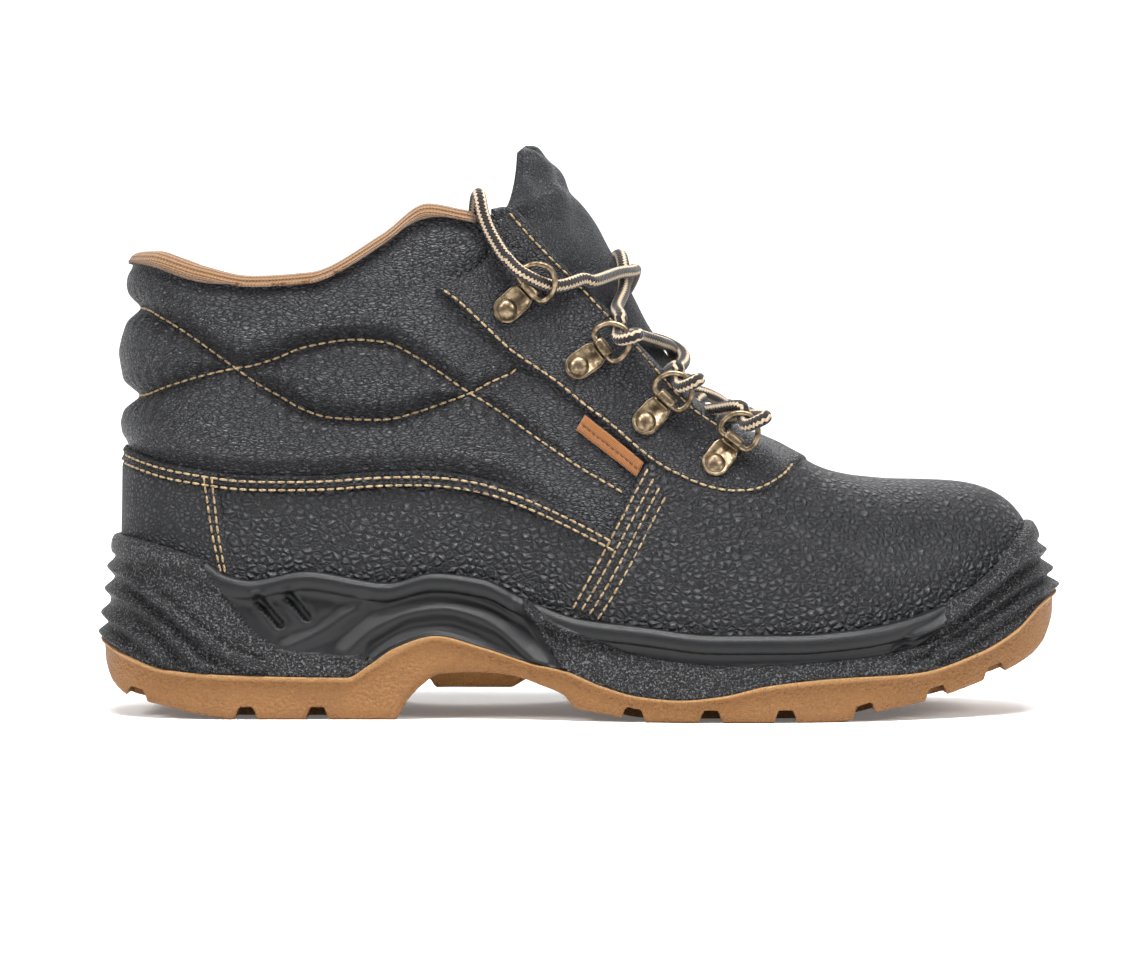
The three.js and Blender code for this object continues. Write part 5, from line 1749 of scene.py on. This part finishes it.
@dataclass
class Outsole:
    """Caramel tread with rounded lugs, notches, a stepped arch and a pale flash line."""

    notches: Sequence[float] = (0.045, 0.159, 0.2315, 0.553, 0.6305, 0.706, 0.786, 0.862, 0.925)
    grooves: Sequence[float] = (0.195, 0.268, 0.592, 0.668, 0.746, 0.824)
    notch_reach: float = 18.4
    groove_half: float = 21.6
    lug_depth: float = 4.0
    lug_gap: float = 5.5
    wall_rows: int = 16
    under_rows: int = 74

    def gap_at(self, x: Array, y: Array, share: Array) -> Array:
        """How deep the notches and bars cut into the tread, in millimetres."""
        depth = np.zeros(x.shape)
        room = SOLE.seam_at(share) - SOLE.ground_at(share)
        for at in self.notches:
            across = np.abs(x - (at - 0.5) * FORM.length)
            near = FORM.outline(np.float64(at), OUTER, 0)[1]
            far = FORM.outline(np.float64(at), INNER, 0)[1]
            reach = min(self.notch_reach, 0.4 * (far - near))
            inside = np.minimum(np.abs(y - near), np.abs(far - y))
            inside = np.where((y < near) | (y > far), 0, inside)
            cut = ease(0.68 * self.lug_gap, 0.4 * self.lug_gap, across)
            cut = cut * ease(reach + 0.8, reach - 0.8, inside)
            depth = np.maximum(depth, cut * np.minimum(self.lug_depth, 0.55 * room))
        for at in self.grooves:
            across = np.abs(x - (at - 0.5) * FORM.length)
            centre = FORM.centre_at(at) * FORM.ball_width
            cut = ease(0.6 * self.lug_gap, 0.35 * self.lug_gap, across)
            cut = cut * ease(self.groove_half + 0.8, self.groove_half - 0.8, np.abs(y - centre))
            depth = np.maximum(depth, cut * np.minimum(0.6 * self.lug_depth, 0.4 * room))
        return depth

    @staticmethod
    def pad(x: Array, y: Array, z: Array) -> Array:
        """Heights lowered to the pad in the middle of the waist."""
        centre = FORM.centre_at(0.39) * FORM.ball_width
        ends = np.array([0.335, 0.35, 0.43, 0.47]) * FORM.length - FORM.length / 2
        levels = np.array([0.62, 0.34, 0.34, 0.62]) * FORM.heel_height
        level = np.interp(x, ends, levels, left=99, right=99)
        inside = ease(20.4, 18.8, np.abs(y - centre))
        return np.where(level < z, mix(z, level, inside), z)

    def build(self) -> Piece:
        """Makes the closed tread."""
        share = SOLE.stations(0.85)
        halves, flashes = [], []
        for side in (OUTER, INNER):
            ground, seam = SOLE.ground_at(share), SOLE.seam_at(share)
            rows = [
                FORM.loop(share, side, SOLE.bond + SOLE.bond_step, SOLE.core(share)),
                FORM.loop(share, side, SOLE.bond, seam),
                FORM.loop(share, side, -0.15, seam + 0.15),
            ]
            flash = [0.0, 0.0, 1.0]
            bevel = np.minimum(SOLE.bevel, 0.3 * (seam - ground))
            for h in np.linspace(0, 1, self.wall_rows) ** 1.4:
                height = mix(seam, ground + bevel, h)
                below = seam - height
                inset = 0.6 * ease(0.4, 1.6, below) - 0.55 * bump(below - 0.2, 0.7)
                rows.append(FORM.loop(share, side, inset + 0.35 * h, height))
                flash.append(float(1 - ease(0.05, 0.16, h)))
            for angle in np.linspace(0, np.pi / 2, 6)[1:]:
                inset = 1.05 + SOLE.bevel * 0.7 * (1 - math.cos(angle))
                rows.append(FORM.loop(share, side, inset, ground + bevel * (1 - math.sin(angle))))
                flash.append(0.0)
            halves.append(np.stack(rows, axis=1))
            flashes.append(np.broadcast_to(np.array(flash), (len(share), len(flash))))
        near, far = halves
        across = np.linspace(0, 1, self.under_rows)[1:-1]
        under = np.stack([mix(near[:, -1], far[:, -1], q) for q in across], axis=1)
        points = np.concatenate([near, under, far[:, ::-1], near[:, :1]], axis=1)
        top = 3
        body = points[:, top:-top - 1]
        x, y, z = np.moveaxis(body, -1, 0)
        s = np.broadcast_to(share[:, None], x.shape)
        floor = SOLE.ground_at(s) + self.gap_at(x, y, s)
        z = self.pad(x, y, np.maximum(z, np.minimum(floor, SOLE.seam_at(s) - 1.2)))
        body[..., 2] = np.maximum(z, 0.0)
        zeros = np.zeros((len(share), len(across)))
        flash = np.concatenate([flashes[0], zeros, flashes[1][:, ::-1], flashes[0][:, :1]], axis=1)
        mesh = joined("tread", [grid_mesh("outsole", points, layers={"flash": flash})], 0.008, closed=True)
        return WARDROBE.dress(make_object("tread", mesh), Finish.TREAD, "outsole")


@dataclass
class Insole:
    """Fabric-topped sheet on the foot bed, a little cupped at its edge."""

    thickness: float = 4.0
    clearance: float = 2.4

    def build(self) -> Piece:
        """Makes the closed sheet."""
        share = SOLE.stations(2.0)
        inset = FORM.ledge + FORM.vamp_wall + self.clearance
        bed = FORM.bed_at(share) * FORM.heel_height + 2 * FORM.gap
        rows = []
        high_near, high_far = (FORM.loop(share, side, inset, bed + self.thickness) for side in (OUTER, INNER))
        for q in np.linspace(0, 1, 41):
            place = mix(high_near, high_far, q)
            place[:, 2] += 1.6 * ease(0.72, 1.0, abs(2 * q - 1)) - 1.0 * ease(0.97, 1.0, abs(2 * q - 1))
            rows.append(place)
        near, far = (FORM.loop(share, side, inset, bed) for side in (OUTER, INNER))
        points = np.stack([near, *rows, far, near], axis=1)
        mesh = joined("insole_sheet", [grid_mesh("insole", points, points[..., :2])], 0.02, closed=True)
        return WARDROBE.dress(make_object("insole_sheet", mesh), Finish.BED, "insole")


@dataclass
class Hardware:
    """Riveted plates with folded ends, and the wire D rings that they hold."""

    shaft: float = 160.0
    length: float = 9.0
    width: float = 8.5
    sheet: float = 1.0
    standoff: float = 1.9
    wire: float = 1.8
    ring_width: float = 12.0
    reach: float = 9.5
    tilt: float = 24.0
    places: Points = (
        (0.4236, 0.795, 0.445, 0.8325), (0.497, 0.684, 0.5193, 0.714),
        (0.5646, 0.575, 0.582, 0.609), (0.6344, 0.493, 0.65, 0.5285),
    )

    @property
    def fold(self) -> float:
        """Height of the ring's straight side over the leather plate."""
        return self.wire / 2 + 1.4 * FORM.gap + 0.9

    def frame(self, level: int, side: float) -> Array:
        """Frame of a plate: ahead to its fold, across, and out of the leather."""
        along, rise, fold_along, fold_rise = self.places[level]
        ends = FORM.locate([
            ((along - 0.5) * FORM.length, rise * self.shaft),
            ((fold_along - 0.5) * FORM.length, fold_rise * self.shaft),
        ])
        start, end = FORM.surface(ends[:, 0], ends[:, 1], np.full(2, side))
        out = FORM.normal(ends[:1, 0], ends[:1, 1], np.full(1, side))[0]
        ahead = unit(end - start - out * np.dot(end - start, out))
        made = np.eye(4)
        made[:3, 0], made[:3, 1], made[:3, 2] = ahead, np.cross(out, ahead), out
        made[:3, 3] = start + out * self.standoff
        return made

    def ring_frame(self, level: int, side: float) -> Array:
        """Frame of a ring about the middle of its straight side."""
        turn = np.array(Matrix.Rotation(math.radians(-self.tilt), 4, "Y"))
        turn[:3, 3] = (self.length, 0, self.fold)
        return self.frame(level, side) @ turn

    def plate(self) -> Mesh:
        """Plate, border, rivet and folded bar, drawn in millimetres."""
        shape = bmesh.new()
        outline = [(0.5 * self.width * math.cos(a), 0.5 * self.width * math.sin(a))
                   for a in np.linspace(math.pi / 2, 1.5 * math.pi, 17)]
        outline += [(self.length - 3.4, -self.width / 2), (self.length - 0.6, -0.37 * self.width),
                    (self.length + 0.6, -0.34 * self.width), (self.length + 0.6, 0.34 * self.width),
                    (self.length - 0.6, 0.37 * self.width), (self.length - 3.4, self.width / 2)]
        face = shape.faces.new([shape.verts.new((x, y, 0)) for x, y in outline])
        made = bmesh.ops.extrude_face_region(shape, geom=[face])
        lifted = [item for item in made["geom"] if isinstance(item, bmesh.types.BMVert)]
        bmesh.ops.translate(shape, verts=lifted, vec=(0, 0, self.sheet))
        top = next(f for f in shape.faces if all(v in lifted for v in f.verts))
        bmesh.ops.bevel(
            shape, geom=list(top.edges), affect="EDGES", offset=0.3, segments=2, profile=0.5, material=-1
        )
        high = [face for face in shape.faces if face.calc_center_median().z > 0.9 * self.sheet]
        top = max(high, key=lambda face: face.calc_area())
        bmesh.ops.inset_region(shape, faces=[top], thickness=0.55, depth=0.0)
        bmesh.ops.inset_region(shape, faces=[top], thickness=0.25, depth=-0.35)
        profile = [(0.0, 2.3), (0.9, 2.24), (1.7, 2.02), (2.35, 1.66), (2.8, 1.2), (2.95, 0.86), (3.2, 0.74),
                   (3.3, 0.45)]
        ring = [shape.verts.new((r, 0, z + 0.1)) for r, z in profile]
        edges = [shape.edges.new(pair) for pair in zip(ring, ring[1:])]
        bmesh.ops.spin(shape, geom=ring + edges, cent=(0, 0, 0), axis=(0, 0, 1), steps=28,
                       angle=2 * math.pi, use_merge=True)
        radius = self.fold - 0.15
        count = 22
        turns = np.linspace(-0.55 * math.pi, 1.25 * math.pi, count)
        outer = [(self.length + radius * math.sin(a), self.fold - radius * math.cos(a)) for a in turns]
        rows = bmesh.ops.create_grid(shape, x_segments=count - 1, y_segments=8, size=1.0)["verts"]
        for vertex in rows:
            i = round((vertex.co.x + 1) / 2 * (count - 1))
            q = (vertex.co.y + 1) / 2
            groove = 0.16 * math.cos(2 * math.pi * 2 * (q - 0.5))
            crown = 1 + 0.05 * (1 - (2 * q - 1) ** 8)
            middle = np.array([self.length, self.fold])
            x, z = middle + (outer[i] - middle) * (crown - 0.02 * groove)
            vertex.co = (x, (q - 0.5) * 0.7 * self.width, z)
        faces = list({f for v in rows for f in v.link_faces})
        bmesh.ops.recalc_face_normals(shape, faces=faces)
        bmesh.ops.solidify(shape, geom=faces, thickness=-0.45)
        bmesh.ops.remove_doubles(shape, verts=shape.verts, dist=0.01)
        bmesh.ops.recalc_face_normals(shape, faces=shape.faces)
        return baked("plate", shape)

    def wire_ring(self) -> Mesh:
        """Closed D ring of round wire, drawn in millimetres."""
        half = self.ring_width / 2
        loop = [(0, -0.72 * half), (0, 0), (0, 0.72 * half), (0.16 * self.reach, 0.96 * half),
                (0.4 * self.reach, 0.98 * half), (0.68 * self.reach, 0.82 * half),
                (0.9 * self.reach, 0.46 * half), (self.reach, 0), (0.9 * self.reach, -0.46 * half),
                (0.68 * self.reach, -0.82 * half), (0.4 * self.reach, -0.98 * half),
                (0.16 * self.reach, -0.96 * half)]
        rows = np.array([(x, y, 0.0) for x, y in loop])
        wide = np.vstack([rows[-3:], rows, rows[:4]])
        line = smooth_line(wide, 0.45)
        start = int(np.linalg.norm(line - rows[0], axis=1)[: len(line) // 2].argmin())
        stop = start + int(np.linalg.norm(line[start + 10:] - rows[0], axis=1).argmin()) + 10
        line = line[start:stop]
        ahead = unit(np.roll(line, -1, axis=0) - np.roll(line, 1, axis=0))
        beside = np.cross(ahead, [0, 0, 1.0])
        angles = np.linspace(0, 2 * np.pi, 13)
        tube = (line[:, None] + beside[:, None] * np.cos(angles)[None, :, None] * self.wire / 2
                + np.array([0, 0, 1.0]) * np.sin(angles)[None, :, None] * self.wire / 2)
        tube = np.concatenate([tube, tube[:1]], axis=0)
        return joined("ring", [grid_mesh("wire", tube / MM)], 10, closed=True)

    def build(self) -> None:
        """Makes all plates and rings."""
        plate, ring = self.plate(), self.wire_ring()
        for word, side in SIDES.items():
            for level in range(len(self.places)):
                label = f"{word}_{level + 1}"
                for part, frame, name, node in (
                    (plate, self.frame(level, side), "riveted_plate", "ring_plate"),
                    (ring, self.ring_frame(level, side), "wire_d_ring", "lace_ring"),
                ):
                    mesh = repeated(f"{name}_{label}", part, frame[None])
                    WARDROBE.dress(make_object(f"{name}_{label}", mesh), Finish.BRASS, f"{node}_{label}")


@dataclass
class Lacing:
    """Lace that crosses the tongue from ring to ring."""

    hardware: Hardware
    tongue: Tongue
    diameter: float = 4.0
    lift: float = 2.5
    over_stay: float = 3.2
    start: Points = ((-23.4, -40.5, 143.6), (-20.6, -40.8, 140.3), (-17.6, -42.2, 138.0))
    first_bar: Points = (
        (-13.2, 134.9, 5.0), (-9.2, 133.7, 3.9), (-4.6, 134.5, 3.2), (-0.6, 135.8, 3.4), (3.4, 136.6, 3.6),
    )
    bars: tuple[Points, ...] = (
        ((0.42, 137.5), (0.22, 138.1), (0.0, 138.6), (-0.3, 134.5), (-0.6, 127.0)),
        ((0.6, 117.5), (0.3, 116.0), (0.0, 111.5), (-0.3, 108.0), (-0.6, 105.0)),
        ((0.6, 100.5), (0.3, 98.5), (0.0, 95.0), (-0.3, 92.5), (-0.6, 90.0)),
    )
    lowest: Points = ((0.6, 90.0), (0.3, 90.0), (-0.3, 90.0), (-0.6, 90.0))
    rises: tuple[Points, ...] = (
        ((0.6, 126.5), (0.34, 134.0), (0.0, 144.0), (-0.3, 143.0), (-0.6, 139.5)),
        ((0.6, 104.5), (0.3, 109.0), (0.0, 114.5), (-0.3, 116.5), (-0.6, 118.0)),
        ((0.68, 93.0), (0.52, 97.0), (0.0, 99.0), (-0.3, 99.5), (-0.6, 100.5)),
    )

    def at_ring(self, level: int, side: float, places: Points) -> list[Array]:
        """Places given in a ring's frame."""
        frame = self.hardware.ring_frame(level, side)
        return [(frame @ np.array([*place, 1.0]))[:3] for place in places]

    def on_tongue(self, height: float, across: float, extra: float) -> Array:
        """Place of the lace over the tongue, at a height and a share across."""
        rows = np.linspace(0.5, len(self.tongue.rows) - 1.2, 400)
        number = np.interp(height, self.tongue.point(rows, np.float64(across))[:, 2], rows)
        place = self.tongue.point(number, np.float64(across))
        return place + self.tongue.normal(number, np.float64(across)) * (self.lift + extra)

    @staticmethod
    def on_leather(x: float, z: float, lift: float) -> Array:
        """Place of the lace over the leather of the outer side."""
        girth, rise = FORM.locate([(x, z)])[0]
        return FORM.surface(girth, rise, OUTER) + FORM.normal(girth, rise, OUTER) * lift

    def crossing(self, side: float, heights: Points, extra: float) -> list[Array]:
        """Places over the tongue from one side to the other.

        Args:
            side: The side where it starts.
            heights: Pairs of a share across, from 1 at the start to -1, and a height.
            extra: Lift over the strand that crosses below.

        Returns:
            The places.
        """
        places = []
        for across, height in heights:
            lift = extra * (1 - across**2) + self.over_stay * ease(0.32, 0.6, abs(across))
            places.append(self.on_tongue(height, side * across, lift))
        return places

    def build(self) -> Piece:
        """Threads one lace from the free end down through all rings and up again."""
        run = [*self.start, *(self.on_leather(*place) for place in self.first_bar)]
        side = OUTER
        for level, bar in enumerate(self.bars):
            run += self.crossing(side, bar, 2.0)
            side = -side
            run += self.through(level + 1, side)[::-1]
        run += self.crossing(side, self.lowest, 1.2)
        side = -side
        run += self.through(3, side)
        for level in (2, 1, 0):
            run += self.crossing(side, self.rises[level], 0.0)
            side = -side
            run += self.through(level, side)
        line = smooth_line(run[:-2], 0.8)
        for _ in range(10):
            line[1:-1] = 0.25 * line[:-2] + 0.5 * line[1:-1] + 0.25 * line[2:]
        points, uv = swept(line, self.diameter / 2, 20)
        mesh = joined("lace_run", [grid_mesh("tube", points, uv)], 0.002, closed=True)
        return WARDROBE.dress(make_object("lace_run", mesh), Finish.LACE, "lace_crossings")

    def through(self, level: int, side: float) -> list[Array]:
        """Places over a ring's wire, down through its opening and out above, under the wire."""
        turn = -side
        return self.at_ring(level, side, [
            (12.2, -3.6 * turn, 1.6), (8.9, -2.5 * turn, 2.9), (5.7, -0.5 * turn, 0.5),
            (7.9, 2.3 * turn, -2.6), (10.3, 4.4 * turn, -1.8),
        ])


@dataclass
class Label:
    """Small woven tab sewn along its middle, left without lettering."""

    corners: Points = ((-1.5, 89.9), (17.2, 75.3), (19.4, 79.7), (1.2, 94.6))
    lift: float = 0.75

    def build(self) -> None:
        """Makes the tab and its dark seam."""
        found = FORM.locate(self.corners)
        u = np.linspace(0, 1, 60)[:, None, None]
        v = np.linspace(0, 1, 22)[None, :, None]
        net = mix(mix(found[0], found[1], u), mix(found[3], found[2], u), v)
        girth, rise = net[..., 0], net[..., 1]
        place, out = FORM.surface(girth, rise, OUTER), FORM.normal(girth, rise, OUTER)
        u, v = u[..., 0], v[..., 0]
        seam = bump(v - 0.42, 0.07)
        edge = np.minimum(np.minimum(u, 1 - u) * 24, np.minimum(v, 1 - v) * 5.6)
        swell = 0.55 * ease(0, 0.7, edge) - 0.28 * seam + 0.12 * np.sin(u * 19) * (1 - seam)
        place = place + out * (self.lift + swell)[..., None]
        uv = np.stack(np.broadcast_arrays(u * 24, v * 5.6), axis=-1)
        piece = make_object("woven_label", grid_mesh("woven_label", place, uv))
        cloth = piece.modifiers.new("fold_thickness", "SOLIDIFY")
        cloth.thickness = 0.9 * MM
        cloth.offset = -1
        WARDROBE.dress(piece, Finish.LABEL, "label_tab")
        share = np.linspace(0.03, 0.97, 30)[:, None]
        line = mix(mix(found[0], found[1], share), mix(found[3], found[2], share), 0.42)
        Stitching(length=1.3, pitch=1.75, radius=0.2).build(
            "label_stitches", [(line, self.lift + 0.42)], Finish.DARK_THREAD, (OUTER,))


def main() -> None:
    """Builds the boot round the packed frame and reports each piece."""
    logging.basicConfig(level=logging.INFO, format="%(name)s %(message)s")
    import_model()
    Studio().build()
    LaceEnd().build()
    Midsole().build()
    Outsole().build()
    Insole().build()
    Upper().build()
    tongue = Tongue()
    tongue.build()
    hardware = Hardware()
    hardware.build()
    Lacing(hardware, tongue).build()
    Label().build()
    bpy.context.view_layer.update()


if __name__ == "__main__":
    main()
